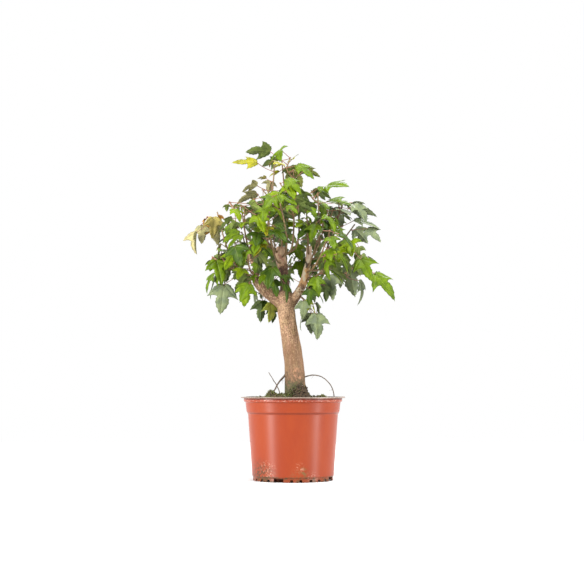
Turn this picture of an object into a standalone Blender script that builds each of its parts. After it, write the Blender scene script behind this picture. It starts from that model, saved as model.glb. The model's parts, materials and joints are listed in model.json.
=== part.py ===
"""A young trident maple, grown on as a bonsai, in its round nursery pot.

Metres, +Z up. The origin is the centre of the pot's underside, and the plant is seen from -Y with +X on the
right. A thick trunk leans a little to the left and forks into three cut-back boughs. Pruned shoots spring
from them, and each shoot with its side shoots and its three-lobed leaves is one mass of foliage, fused into
one solid.
"""

import math
import random
from collections import namedtuple

import bmesh
import bpy
from mathutils import Matrix, Vector
from mathutils.bvhtree import BVHTree

MM = 0.001
UP = Vector((0, 0, 1))

# The gap between neighbouring solids
CLEAR = 0.3 * MM

# Faces that meet at less than this angle are shaded as one round surface
SHARP_ANGLE = math.radians(40)

# Pot, turned round the Z axis
POT_SIDES = 36
POT_WALL = 1.1 * MM
RIM_RADIUS = 65.0 * MM
RIM_HEIGHT = 103.0 * MM
BAND_RADIUS = 61.2 * MM
BAND_FOOT = 97.2 * MM
COLLAR_RADIUS = 59.2 * MM
COLLAR_FOOT = 84.6 * MM
COLLAR_FOOT_RADIUS = 57.8 * MM
BODY_TOP = 81.8 * MM
BODY_TOP_RADIUS = 56.0 * MM
BODY_FOOT = 5.8 * MM
BODY_FOOT_RADIUS = 50.7 * MM
FOOT_RADIUS = 49.6 * MM
PAD_RADIUS = 37.0 * MM
GUTTER_HEIGHT = 4.0 * MM

# Openings in the foot: in each quarter a wide drain, and small notches that follow it
DRAIN_AT = math.radians(-21.0)
DRAIN_WIDTH = 12.5 * MM
DRAIN_HEIGHT = 5.0 * MM
NOTCH_WIDTH = 3.6 * MM
NOTCH_HEIGHT = 3.2 * MM
NOTCHES_AFTER_DRAIN = [math.radians(a) for a in (19.0, 32.0, 47.0, 61.0, 74.0)]

# Soil and the mossy mounds on it: place, height and radius of each mound
SOIL_LEVEL = 97.0 * MM
SOIL_EDGE = 95.5 * MM
SOIL_SIDES = POT_SIDES
SOIL_RINGS = (0.16, 0.32, 0.48, 0.64, 0.80, 0.92)
Mound = namedtuple("Mound", "x y height radius")
MOUNDS = (
    Mound(-28 * MM, -10 * MM, 14 * MM, 8 * MM),
    Mound(-12 * MM, -9 * MM, 10 * MM, 9 * MM),
    Mound(10 * MM, -12 * MM, 22 * MM, 8 * MM),
    Mound(37 * MM, -12 * MM, 9 * MM, 8 * MM),
    Mound(-43 * MM, 6 * MM, 7 * MM, 9 * MM),
    Mound(10 * MM, 16 * MM, 12 * MM, 11 * MM),
    Mound(-20 * MM, 26 * MM, 8 * MM, 12 * MM),
    Mound(32 * MM, 24 * MM, 7 * MM, 13 * MM),
)

# Trunk, boughs and surface roots: knots that a smooth limb runs through, each x, y, z and radius in mm
TRUNK = (
    (5.0, 0.0, 98.0, 15.6),
    (3.8, 0.0, 111.0, 13.4),
    (2.4, 0.0, 128.0, 12.5),
    (-1.6, 0.0, 162.0, 11.6),
    (-6.2, 0.0, 196.0, 10.5),
    (-9.0, 0.0, 216.0, 10.6),
    (-10.0, 0.0, 227.0, 10.2),
    (-10.6, 0.0, 236.0, 7.6),
)
BOUGHS = {
    "left_bough": (
        (-13.0, -0.5, 219.0, 7.8),
        (-24.0, -2.0, 227.0, 7.4),
        (-35.0, -3.5, 235.5, 6.9),
        (-44.5, -4.0, 246.5, 5.8),
        (-47.5, -4.0, 254.0, 4.0),
        (-46.8, -4.0, 259.0, 2.6),
    ),
    "left_spur": (
        (-46.8, -4.0, 260.2, 2.2),
        (-49.5, -3.0, 268.0, 2.0),
        (-53.5, -1.5, 277.0, 1.9),
        (-54.2, 0.0, 289.0, 1.7),
    ),
    "middle_bough": (
        (-10.6, 0.5, 230.0, 6.3),
        (-10.0, 2.5, 244.0, 5.6),
        (-11.5, 4.0, 258.0, 5.5),
        (-14.5, 3.0, 270.0, 6.5),
        (-15.8, 2.0, 280.0, 6.2),
        (-15.8, 1.5, 290.5, 5.1),
    ),
    "right_bough": (
        (-3.0, -0.5, 218.0, 6.0),
        (4.0, -2.0, 228.5, 5.6),
        (9.8, -3.0, 238.5, 5.1),
        (13.8, -3.0, 249.0, 4.9),
        (16.6, -2.0, 260.0, 4.4),
        (19.6, -1.5, 272.0, 3.6),
        (20.4, -1.5, 291.0, 3.5),
    ),
}
RIGHT_SNAG = ((10.0, -3.0, 245.5, 0.9), (5.0, -3.5, 247.5, 0.8), (0.2, -4.0, 250.5, 0.7))
ROOTS = {
    "right_root": (
        (12.0, -3.0, 126.5, 0.9),
        (17.4, -3.0, 128.6, 0.8),
        (26.0, -4.0, 130.0, 0.7),
        (36.0, -5.0, 127.5, 0.6),
        (44.5, -6.0, 120.5, 0.6),
        (50.0, -6.5, 110.0, 0.6),
        (52.5, -6.5, 94.0, 0.6),
    ),
    "left_root": (
        (-7.5, -2.5, 133.0, 1.4),
        (-13.0, -3.0, 126.2, 1.2),
        (-18.5, -5.0, 119.5, 1.0),
        (-25.5, -8.0, 107.0, 0.8),
    ),
    "dry_stalk": (
        (-30.0, -13.0, 133.5, 0.4),
        (-24.5, -12.5, 124.0, 0.5),
        (-18.6, -12.0, 113.8, 0.6),
        (-16.0, -12.0, 106.0, 0.6),
    ),
}
TRUNK_SIDES = 14
BOUGH_SIDES = 10
ROOT_SIDES = 5
KNOT_STEPS = 2
BARK_WAVES = 0.035

# A leaf has three lobes: half of its outline, in leaf lengths across and along, its thickness in the middle,
# and how far the neck at its base reaches back, in petiole radii
LEAF_HALF = ((0.19, -0.01), (0.54, 0.42), (0.19, 0.44), (0.20, 0.64))
LEAF_CENTRE = 0.34
LEAF_THICKNESS = 0.020
NECK = 1.1
PETIOLE_RADIUS = 0.5 * MM
PETIOLE_SHARE = (0.4, 0.95)
LEAF_SIZES = (0.74, 1.14)
LEAF_CURL = (0.2, 0.9)
LEAF_FOLD = (0.05, 0.32)
LEAF_ROLL = 0.7
LEAF_SWING = 0.8

# Leaves hang more the lower they are in the crown
CROWN_FOOT = 230 * MM
CROWN_TOP = 345 * MM
DROOP_LOW = math.radians(64)
DROOP_HIGH = math.radians(14)
DROOP_SPREAD = math.radians(24)

# Masses whose leaves are wilted: they hang and are folded
WILTED = ("left_tip_foliage",)
WILTED_DROOP = math.radians(74)
WILTED_FOLD = (0.4, 0.9)
WILTED_ROLL = 1.3

# Cut ends that stay in view: place across and up, and the half width and height of the room before each one
Clearing = namedtuple("Clearing", "x z wide high")
CLEARINGS = (
    Clearing(-15.8 * MM, 279 * MM, 9 * MM, 16 * MM),
    Clearing(17.5 * MM, 270 * MM, 8 * MM, 25 * MM),
)
CLEARING_BACK = -4 * MM

# Shoots
STEM_RADIUS = (1.5 * MM, 0.9 * MM)
SHOOT_RADIUS = (1.05 * MM, 0.75 * MM)
STEM_STEPS = 5
STEM_SIDES = 4
SHOOT_SIDES = 3
SHOOT_STEPS = 2
STEM_NODES = (0.48, 0.92)
SHOOT_NODES = (0.58, 0.96)
SHOOT_LEAN = math.radians(50)
SHOOT_SHARE = (0.55, 0.95)
FOOT_STEPS = 200
TRIES = 14
SHRINK = 0.25
TURN_TO_ROOM = 0.9
MARGIN = 0.35 * MM
SUNK = 0.2 * MM
NEAR_NODE = 5.0 * MM
LEAST_SIDEWAYS = 0.35
LEAST_OPEN = 0.4
MOST_ALONG = 0.75

# Masses of foliage, in millimetres. The stem leaves its bough at a share of the bough's length, bends by
# "via" and ends at "tip". Its leaves stay in the round space at "heart" that reaches so far in x, y and z.
# Then come the numbers of its nodes and side shoots, the length of its leaves and the seed of its growth.
Mass = namedtuple("Mass", "name bough share via tip heart reach nodes shoots leaf seed")
MASSES = (
    Mass("left_tip_foliage", "left_bough", 0.80, (-80, -6, 266), (-95, -4, 334),
         (-104, -5, 304), (33, 30, 36), 3, 1, 31, 345),
    Mass("left_hanging_foliage", "left_bough", 0.72, (-70, -14, 258), (-84, -14, 276),
         (-87, -12, 245), (26, 28, 44), 3, 2, 38, 384),
    Mass("left_low_foliage", "left_bough", 0.55, (-48, -20, 252), (-50, -26, 258),
         (-50, -24, 236), (30, 26, 36), 3, 0, 32, 250),
    Mass("under_bough_foliage", "left_bough", 0.45, (-36, 14, 238), (-34, 22, 232),
         (-34, 20, 220), (24, 24, 28), 3, 0, 28, 134),
    Mass("left_front_foliage", "left_bough", 0.86, (-56, -26, 262), (-56, -38, 286),
         (-56, -38, 276), (36, 32, 30), 3, 2, 31, 55),
    Mass("left_high_foliage", "left_spur", 0.60, (-60, -18, 298), (-64, -28, 340),
         (-58, -28, 318), (36, 34, 30), 4, 2, 29, 231),
    Mass("left_back_foliage", "left_spur", 0.30, (-58, 26, 282), (-66, 44, 314),
         (-62, 44, 296), (38, 40, 40), 4, 1, 32, 77),
    Mass("fork_foliage", "middle_bough", 0.30, (-18, -22, 250), (-24, -30, 262),
         (-24, -32, 244), (26, 26, 28), 3, 0, 34, 156),
    Mass("centre_front_foliage", "middle_bough", 0.62, (-24, -28, 276), (-30, -40, 304),
         (-30, -38, 292), (30, 32, 30), 3, 2, 29, 213),
    Mass("centre_high_foliage", "middle_bough", 0.88, (-28, -12, 304), (-34, -14, 344),
         (-30, -14, 330), (34, 32, 30), 4, 2, 29, 38),
    Mass("apex_left_foliage", "middle_bough", 0.94, (-24, 2, 340), (-23, 0, 400),
         (-52, 0, 376), (38, 34, 44), 4, 0, 31, 1085),
    Mass("apex_top_foliage", "middle_bough", 0.90, (-10, 10, 350), (-14, 8, 400),
         (-26, 6, 403), (38, 34, 25), 3, 2, 31, 1153),
    Mass("apex_right_foliage", "middle_bough", 0.84, (6, -2, 340), (0, -4, 388),
         (18, -4, 388), (34, 32, 30), 3, 2, 30, 1280),
    Mass("apex_low_foliage", "middle_bough", 0.80, (0, -12, 316), (2, -18, 360),
         (0, -18, 350), (30, 32, 28), 3, 2, 27, 694),
    Mass("centre_right_foliage", "right_bough", 0.92, (20, -6, 304), (16, -10, 344),
         (16, -10, 330), (28, 30, 30), 3, 0, 26, 130),
    Mass("right_high_foliage", "right_bough", 0.86, (34, -2, 304), (31, 0, 358),
         (56, 0, 362), (38, 32, 24), 3, 2, 35, 976),
    Mass("right_upper_foliage", "right_bough", 0.78, (44, 0, 296), (62, 0, 342),
         (82, 0, 336), (46, 34, 26), 4, 2, 36, 315),
    Mass("right_tip_foliage", "right_bough", 0.70, (54, 10, 290), (78, 10, 320),
         (94, 8, 308), (34, 30, 28), 2, 0, 42, 1048),
    Mass("right_middle_foliage", "right_bough", 0.74, (28, -16, 290), (38, -20, 320),
         (38, -20, 310), (38, 30, 26), 3, 2, 29, 18),
    Mass("right_low_foliage", "right_bough", 0.55, (44, -18, 262), (66, -26, 286),
         (70, -26, 272), (36, 34, 32), 3, 2, 33, 49),
    Mass("right_low_tip_foliage", "right_bough", 0.46, (56, -10, 248), (92, -12, 276),
         (104, -12, 252), (32, 30, 36), 2, 1, 38, 922),
    Mass("right_under_foliage", "right_bough", 0.38, (44, -4, 240), (72, -6, 256),
         (78, -6, 242), (32, 28, 32), 2, 0, 42, 153),
    Mass("right_inner_foliage", "right_bough", 0.50, (30, -18, 252), (42, -24, 266),
         (43, -22, 254), (30, 30, 34), 3, 2, 34, 124),
    Mass("fork_right_foliage", "right_bough", 0.28, (16, -16, 232), (26, -22, 248),
         (26, -22, 238), (26, 26, 26), 3, 0, 32, 15),
    Mass("hanging_foliage", "right_bough", 0.20, (16, -8, 222), (22, -10, 212),
         (26, -10, 200), (29, 26, 32), 3, 0, 32, 694),
    Mass("gap_foliage", "middle_bough", 0.50, (4, 22, 262), (12, 30, 286),
         (11, 30, 276), (25, 30, 34), 3, 1, 29, 243),
    Mass("back_centre_foliage", "middle_bough", 0.66, (-22, 34, 280), (-26, 58, 312),
         (-26, 58, 298), (38, 40, 40), 4, 1, 32, 251),
    Mass("back_right_foliage", "right_bough", 0.60, (34, 28, 272), (50, 54, 300),
         (48, 54, 290), (42, 40, 38), 4, 1, 32, 188),
    Mass("back_high_foliage", "middle_bough", 0.82, (-14, 24, 320), (-16, 42, 358),
         (-16, 42, 348), (38, 36, 36), 4, 1, 30, 191),
    Mass("right_back_high_foliage", "right_bough", 0.90, (36, 26, 310), (46, 42, 338),
         (46, 42, 330), (38, 34, 32), 3, 1, 30, 118),
    Mass("right_front_foliage", "right_bough", 0.64, (32, -34, 268), (40, -52, 292),
         (42, -52, 278), (36, 34, 30), 3, 1, 31, 108),
    Mass("front_high_foliage", "middle_bough", 0.76, (-5, -30, 300), (-16, -46, 340),
         (-20, -46, 334), (34, 32, 28), 3, 1, 28, 135),
)

POT_COLOUR = (0.56, 0.13, 0.05)
SOIL_COLOUR = (0.05, 0.04, 0.02)
BARK_COLOUR = (0.45, 0.27, 0.14)
ROOT_COLOUR = (0.12, 0.09, 0.06)
LEAF_COLOUR = (0.07, 0.20, 0.02)


def material(name, colour, roughness):
    made = bpy.data.materials.new(name)
    made.use_nodes = True
    shader = made.node_tree.nodes["Principled BSDF"]
    shader.inputs["Base Color"].default_value = (*colour, 1)
    shader.inputs["Roughness"].default_value = roughness
    shader.inputs["Metallic"].default_value = 0.0
    return made


def triangles(faces):
    """Every face cut into triangles, which stay flat when a Boolean cuts them."""
    return [[face[0], face[i], face[i + 1]] for face in faces for i in range(1, len(face) - 1)]


def solid(name, shape, finish=None):
    """An object in the scene from a shape, which is a list of points and a list of faces."""
    points, faces = shape
    mesh = bpy.data.meshes.new(name)
    mesh.from_pydata(points, [], triangles(faces))
    cleaner = bmesh.new()
    cleaner.from_mesh(mesh)
    bmesh.ops.recalc_face_normals(cleaner, faces=cleaner.faces)
    cleaner.to_mesh(mesh)
    cleaner.free()
    made = bpy.data.objects.new(name, mesh)
    if finish:
        mesh.materials.append(finish)
    bpy.context.scene.collection.objects.link(made)
    return made


def helper(name, shape):
    """A cutter: it takes part in Booleans and isn't part of the plant."""
    made = solid(name, shape)
    made.hide_render = True
    made.display_type = "WIRE"
    return made


def cut(body, cutter):
    step = body.modifiers.new("cut", "BOOLEAN")
    step.operation = "DIFFERENCE"
    step.solver = "EXACT"
    step.object = cutter


def turned(profile, sides):
    """A shape turned round the Z axis from (radius, height) points that start and end on the axis."""
    points, rows = [], []
    for radius, height in profile:
        if radius == 0:
            rows.append([len(points)] * sides)
            points.append(Vector((0, 0, height)))
            continue
        rows.append(list(range(len(points), len(points) + sides)))
        for i in range(sides):
            turn = math.tau * i / sides
            points.append(Vector((radius * math.cos(turn), radius * math.sin(turn), height)))
    faces = []
    for low, high in zip(rows, rows[1:]):
        for i in range(sides):
            j = (i + 1) % sides
            corners = [low[i], low[j], high[j], high[i]]
            faces.append(list(dict.fromkeys(corners)))
    return points, faces


def smooth(knots, steps):
    """Points with a radius along a smooth curve through knots, each x, y, z and radius in millimetres."""
    rows = [Vector(k) * MM for k in knots]
    rows = [rows[0] * 2 - rows[1]] + rows + [rows[-1] * 2 - rows[-2]]
    path = []
    for a, b, c, d in zip(rows, rows[1:], rows[2:], rows[3:]):
        for i in range(steps):
            t = i / steps
            curve = 2 * b + (c - a) * t + (2 * a - 5 * b + 4 * c - d) * t**2 + (3 * b - a - 3 * c + d) * t**3
            path.append(curve / 2)
    path.append(rows[-2])
    return [(Vector(p[:3]), p[3]) for p in path]


def tube(path, sides, waves=0.0, extra=0.0):
    """A limb round a path of (point, radius), with flat ends. Waves make it less round, extra thicker."""
    points, faces = [], []
    along = (path[1][0] - path[0][0]).normalized()
    across = along.orthogonal().normalized()
    last = len(path) - 1
    for n, (centre, radius) in enumerate(path):
        ahead = (path[min(n + 1, last)][0] - path[max(n - 1, 0)][0]).normalized()
        across = (across - ahead * across.dot(ahead)).normalized()
        aside = ahead.cross(across)
        for i in range(sides):
            turn = math.tau * i / sides
            swell = 1 + waves * math.sin(3 * turn + 0.7 * n) + waves * math.sin(5 * turn - 1.3 * n)
            reach = radius * swell + extra
            points.append(centre + (across * math.cos(turn) + aside * math.sin(turn)) * reach)
        if n:
            row = n * sides
            for i in range(sides):
                j = (i + 1) % sides
                faces.append([row - sides + i, row - sides + j, row + j, row + i])
    faces.append(list(range(sides))[::-1])
    faces.append(list(range(last * sides, (last + 1) * sides)))
    return points, faces


def room_round(path, sides, waves=0.0):
    """A cutter that leaves a gap all round a limb, past both its ends too."""
    points, faces = tube(path, sides, waves, CLEAR)
    ends = ((points[:sides], path[0][0] - path[1][0]), (points[-sides:], path[-1][0] - path[-2][0]))
    for ring, out in ends:
        for p in ring:
            p += out.normalized() * CLEAR
    return points, faces


def block(width, depth, low, high, out, turn):
    """A box that stands out from the Z axis at an angle: a cutter for the pot's foot."""
    points = []
    for z in (low, high):
        for x, y in ((-width, -depth), (width, -depth), (width, depth), (-width, depth)):
            points.append(Matrix.Rotation(turn, 4, "Z") @ Vector((x / 2, y / 2 - out, z)))
    return points, [[3, 2, 1, 0], [4, 5, 6, 7], [0, 1, 5, 4], [1, 2, 6, 5], [2, 3, 7, 6], [3, 0, 4, 7]]


def joined(shapes):
    points, faces = [], []
    for more, sides in shapes:
        faces += [[len(points) + i for i in face] for face in sides]
        points += more
    return points, faces


def pot_inside():
    """The inner side of the pot's wall and floor, from the axis out and up."""
    lean = POT_WALL * 1.05
    return [
        (0, POT_WALL),
        (PAD_RADIUS - POT_WALL, POT_WALL),
        (PAD_RADIUS + 0.2 * MM, GUTTER_HEIGHT + POT_WALL),
        (BODY_FOOT_RADIUS - lean, GUTTER_HEIGHT + POT_WALL),
        (BODY_TOP_RADIUS - lean, BODY_TOP + 0.4 * MM),
        (COLLAR_FOOT_RADIUS - lean, COLLAR_FOOT + 0.3 * MM),
        (COLLAR_RADIUS - lean, BAND_FOOT - 0.4 * MM),
        (BAND_RADIUS - lean, BAND_FOOT + 1.0 * MM),
        (BAND_RADIUS - POT_WALL, RIM_HEIGHT),
    ]


def make_pot():
    outside = [
        (RIM_RADIUS, RIM_HEIGHT),
        (RIM_RADIUS, RIM_HEIGHT - POT_WALL),
        (BAND_RADIUS, RIM_HEIGHT - POT_WALL),
        (BAND_RADIUS, BAND_FOOT),
        (COLLAR_RADIUS, BAND_FOOT - 0.8 * MM),
        (COLLAR_FOOT_RADIUS, COLLAR_FOOT),
        (BODY_TOP_RADIUS, BODY_TOP),
        (BODY_FOOT_RADIUS, BODY_FOOT),
        (FOOT_RADIUS, BODY_FOOT - 1.0 * MM),
        (FOOT_RADIUS, 0),
        (FOOT_RADIUS - 1.5 * MM, 0),
        (FOOT_RADIUS - 1.7 * MM, GUTTER_HEIGHT),
        (PAD_RADIUS + 1.2 * MM, GUTTER_HEIGHT),
        (PAD_RADIUS, 0),
        (0, 0),
    ]
    pot = solid("pot", turned(pot_inside() + outside, POT_SIDES), material("pot_plastic", POT_COLOUR, 0.4))
    cutters = []
    for quarter in range(4):
        drain = DRAIN_AT + quarter * math.tau / 4
        cutters.append(block(DRAIN_WIDTH, 6 * MM, -2 * MM, DRAIN_HEIGHT, FOOT_RADIUS, drain))
        for after in NOTCHES_AFTER_DRAIN:
            cutters.append(block(NOTCH_WIDTH, 5 * MM, -2 * MM, NOTCH_HEIGHT, FOOT_RADIUS, drain + after))
    cut(pot, helper("foot_openings", joined(cutters)))


def ground(x, y):
    """Height of the soil at a place."""
    out = math.hypot(x, y) / BAND_RADIUS
    height = SOIL_LEVEL - (SOIL_LEVEL - SOIL_EDGE) * out**4
    for mound in MOUNDS:
        away = ((x - mound.x) ** 2 + (y - mound.y) ** 2) / mound.radius**2
        height += mound.height * math.exp(-away) * max(0.0, 1 - out**6)
    return height


def make_soil():
    """The soil fills the pot to just under its rim, and the trunk stands on a flat seat in it."""
    inside = pot_inside()
    edge = inside[6][0] - CLEAR
    profile = [(0, POT_WALL + CLEAR)]
    profile += [(r - CLEAR, z + CLEAR) for r, z in inside[1:6]]
    profile[2] = (inside[2][0] - 1.5 * CLEAR, inside[2][1] + CLEAR)
    profile += [(edge, SOIL_EDGE)]
    profile += [(edge * share, SOIL_LEVEL) for share in reversed(SOIL_RINGS)]
    profile += [(0, SOIL_LEVEL)]
    points, faces = turned(profile, SOIL_SIDES)
    for p in points:
        if p.z > SOIL_EDGE + CLEAR:
            p.z = ground(p.x, p.y)
    soil = solid("soil", (points, faces), material("potting_soil", SOIL_COLOUR, 0.95))
    cut(soil, helper("trunk_seat", room_round(smooth(TRUNK, KNOT_STEPS), TRUNK_SIDES, BARK_WAVES)))
    for name, knots in ROOTS.items():
        cut(soil, helper(name + "_way", room_round(smooth(knots, KNOT_STEPS), ROOT_SIDES)))


def limb_paths():
    """The trunk, the boughs and the surface roots as smooth paths of (point, radius)."""
    paths = {"trunk": smooth(TRUNK, KNOT_STEPS)}
    for name, knots in {**BOUGHS, **ROOTS}.items():
        paths[name] = smooth(knots, KNOT_STEPS)
    return paths


def make_limbs(paths):
    """The trunk, and the boughs and roots with a gap where they would meet it."""
    solid("trunk", tube(paths["trunk"], TRUNK_SIDES, BARK_WAVES), material("trunk_bark", BARK_COLOUR, 0.8))
    clearance = helper("trunk_clearance", room_round(paths["trunk"], TRUNK_SIDES, BARK_WAVES))
    for name in BOUGHS:
        bark = material(name + "_bark", BARK_COLOUR, 0.8)
        bough = solid(name, tube(paths[name], BOUGH_SIDES, BARK_WAVES), bark)
        if name != "left_spur":
            cut(bough, clearance)
        if name == "right_bough":
            snag = helper("right_snag", tube(smooth(RIGHT_SNAG, 1), ROOT_SIDES))
            step = bough.modifiers.new("snag", "BOOLEAN")
            step.operation = "UNION"
            step.solver = "EXACT"
            step.object = snag
    for name in ROOTS:
        made = solid(name, tube(paths[name], ROOT_SIDES), material(name + "_skin", ROOT_COLOUR, 0.8))
        if name != "dry_stalk":
            cut(made, clearance)


# A part of a mass. Later pieces are tested against its faces. It is itself tested with the margin all round:
# whole against other masses, and without its first stretch against its own mass, which it springs from.
Piece = namedtuple("Piece", "kind mass shape faces whole outer centre radius path")


def piece(kind, mass, shape, whole, outer, path=None):
    points = shape[0]
    centre = sum(points, Vector()) / len(points)
    radius = max((p - centre).length for p in points) + MARGIN
    trees = [BVHTree.FromPolygons(*s) for s in (shape, whole, outer)]
    return Piece(kind, mass, shape, *trees, centre, radius, path)


def twig(kind, mass, path, sides):
    """A stem or a shoot as a piece."""
    whole = tube(path, sides, 0, MARGIN)
    outer = tube(path[1:], sides, 0, MARGIN)
    return piece(kind, mass, tube(path, sides), whole, outer, path)


def crosses_itself(new):
    """Whether two faces of a piece that share no corner cross."""
    faces = new.shape[1]
    for a, b in new.faces.overlap(new.faces):
        if a < b and not set(faces[a]) & set(faces[b]):
            return True
    return False


def touches(new, others):
    """Whether a new piece comes nearer than the margin to one of the others."""
    for other in others:
        if (new.centre - other.centre).length < new.radius + other.radius:
            tested = new.outer if other.mass == new.mass else new.whole
            if tested.overlap(other.faces):
                return True
    return False


def hides_cut_end(point):
    """Whether a point stands before one of the cut ends that stay in view."""
    if point.y > CLEARING_BACK:
        return False
    return any(((point.x - c.x) / c.wide) ** 2 + ((point.z - c.z) / c.high) ** 2 < 1 for c in CLEARINGS)


def inside(points, mass):
    """Whether all points are in the mass's own space, a box with well rounded edges, and hide no cut end."""
    heart, reach = Vector(mass.heart) * MM, Vector(mass.reach) * MM
    for p in points:
        away = p - heart
        if (away.x / reach.x) ** 4 + (away.y / reach.y) ** 4 + (away.z / reach.z) ** 4 > 1:
            return False
    return not any(hides_cut_end(p) for p in points)


def bezier(a, b, c, d, steps, radii):
    """A path of (point, radius) along a cubic curve, its radius tapering from the first to the second."""
    path = []
    for i in range(steps + 1):
        t = i / steps
        u = 1 - t
        point = a * u**3 + b * 3 * u * u * t + c * 3 * u * t * t + d * t**3
        path.append((point, radii[0] + (radii[1] - radii[0]) * t))
    return path


def spot(path, share):
    """Point and direction at a share of a path's length."""
    at = share * (len(path) - 1)
    n = min(int(at), len(path) - 2)
    here, ahead = path[n][0], path[n + 1][0]
    return here.lerp(ahead, at - n), (ahead - here).normalized(), path[n][1]


def distance(limb, point):
    """How far a point near a limb is outside it, less than zero inside it."""
    nearest, normal, _, away = limb.faces.find_nearest(point)
    within = away < 2 * STEM_RADIUS[0] and (point - nearest).dot(normal) < -0.1 * away
    return -away if within else away


def stem_path(mass, bough, limbs):
    """The mass's main shoot. It stands off its bough's bark, square to it, then bends towards its tip."""
    via, tip = Vector(mass.via) * MM, Vector(mass.tip) * MM
    axis, along, radius = spot(bough, mass.share)
    out = via - axis
    out = (out - along * out.dot(along)).normalized()
    foot = axis + out * radius
    path = []
    for _ in range(FOOT_STEPS):
        path = bezier(foot, foot + out * (via - foot).length * 0.45, via, tip, STEM_STEPS, STEM_RADIUS)
        ring = tube(path, STEM_SIDES)[0][:STEM_SIDES]
        if min(distance(limb, c) for limb in limbs for c in ring + [foot]) > CLEAR:
            break
        foot += out * CLEAR / 6
    return path


def leaf_frame(base, out, droop, roll):
    """Axes of a blade: across, along and up from its face, at its base."""
    flat = Vector((out.x, out.y, 0)).normalized()
    along = flat * math.cos(droop) - UP * math.sin(droop)
    face = (UP - along * UP.dot(along)).normalized()
    face = Matrix.Rotation(roll, 3, along) @ face
    across = along.cross(face)
    return Matrix((across, along, face)).transposed().to_4x4(), base


def bend(x, y, leaf):
    """A point of the flat blade, x across and y along in leaf lengths, put on the folded, curled blade."""
    turn = leaf["curl"]
    along = math.sin(turn * y) / turn
    sink = (1 - math.cos(turn * y)) / turn
    lift = leaf["fold"] * abs(x) - 0.5 * turn * x * x
    return Vector((x, along, lift - sink)) * leaf["length"]


def leaf_shape(leaf, extra=0.0, skipped=0.0):
    """A leaf and its petiole as one closed shape: a blade that is thick in the middle with a thin rim, on a
    three-sided petiole whose end is its base. A share of the petiole can be skipped."""
    rotation, base = leaf["frame"]
    length = leaf["length"]
    width = (PETIOLE_RADIUS + extra) / length
    thick = LEAF_THICKNESS / 2 + extra / length
    grow = 1 + 2 * extra / length
    right = [(x * grow, y * grow) for x, y in LEAF_HALF]
    rim = [(width, 0.0)] + right + [(0.0, grow)]
    rim += [(-x, y) for x, y in reversed(right)] + [(-width, 0.0)]
    points = [bend(x, y, leaf) for x, y in rim]
    middle = bend(0, LEAF_CENTRE, leaf)
    points += [middle + UP * thick * length, middle - UP * thick * length]
    points.append(Vector((0, NECK * width, -NECK * width)) * length)
    points = [rotation @ p + base for p in points]
    count = len(rim)
    top, bottom, keel = count, count + 1, count + 2
    faces = [[i, (i + 1) % count, top] for i in range(count)]
    faces += [[(i + 1) % count, i, bottom] for i in range(count - 1)]
    faces += [[0, keel, bottom], [keel, count - 1, bottom]]
    across = (rotation @ Vector((1, 0, 0))).normalized()
    start, end = leaf["petiole"]
    ahead = (end - start).normalized()
    side = (across - ahead * across.dot(ahead)).normalized()
    up = side.cross(ahead)
    half = PETIOLE_RADIUS + extra
    centre = start.lerp(end, skipped)
    shoulder = centre + up * half / 2
    points += [shoulder + side * half, shoulder - side * half, centre - up * half]
    blade_end, stalk_end = [0, count - 1, keel], [count + 3, count + 4, count + 5]
    for i in range(3):
        j = (i + 1) % 3
        faces.append([blade_end[i], blade_end[j], stalk_end[j], stalk_end[i]])
    faces.append(stalk_end)
    return points, faces


def petiole_way(node, along, aside, rise, swing, mass):
    """Which way a petiole leaves its node: out to its side and up, drawn to the room that its mass has."""
    room = (Vector(mass.heart) * MM - node) / (sum(mass.reach) / 3 * MM)
    pull = min(1.0, room.length) * TURN_TO_ROOM
    out = aside + along * 0.3 + UP * rise + room.normalized() * pull
    return Matrix.Rotation(swing, 3, "Z") @ out.normalized()


def leaf_at(node, along, aside, mass, rng, others):
    """A leaf on one side of a node, or None where every try leaves the mass's space or touches something."""
    for attempt in range(TRIES):
        length = mass.leaf * MM * rng.uniform(*LEAF_SIZES) * (1 - SHRINK * attempt / TRIES)
        stalk = length * rng.uniform(*PETIOLE_SHARE)
        swing = rng.uniform(-LEAF_SWING, LEAF_SWING)
        out = petiole_way(node, along, aside, rng.uniform(-0.25, 0.65), swing, mass)
        base = node + out * stalk + UP * stalk * rng.uniform(-0.18, 0.05)
        facing = Matrix.Rotation(rng.uniform(-LEAF_SWING, LEAF_SWING), 3, "Z") @ out
        height = min(1, max(0, (node.z - CROWN_FOOT) / (CROWN_TOP - CROWN_FOOT)))
        droop = DROOP_LOW + (DROOP_HIGH - DROOP_LOW) * height
        fold, roll = LEAF_FOLD, LEAF_ROLL
        if mass.name in WILTED:
            droop, fold, roll = WILTED_DROOP, WILTED_FOLD, WILTED_ROLL
        droop += rng.uniform(-DROOP_SPREAD, DROOP_SPREAD)
        leaf = {
            "length": length,
            "curl": rng.uniform(*LEAF_CURL),
            "fold": rng.uniform(*fold),
            "frame": leaf_frame(base, facing, droop, rng.uniform(-roll, roll)),
            "petiole": [node - out * SUNK, base],
        }
        axes = leaf["frame"][0]
        ahead = (base - node).normalized()
        if ahead.dot(axes.col[1].xyz + axes.col[2].xyz) < LEAST_OPEN:
            continue
        if out.dot(aside) < LEAST_SIDEWAYS or abs(out.dot(along)) > MOST_ALONG:
            continue
        shape = leaf_shape(leaf)
        if not inside(shape[0], mass):
            continue
        outer = leaf_shape(leaf, MARGIN, min(0.6, NEAR_NODE / stalk))
        new = piece("leaf", mass.name, shape, leaf_shape(leaf, MARGIN), outer)
        if not crosses_itself(new) and not touches(new, others):
            return new
    return None


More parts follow.
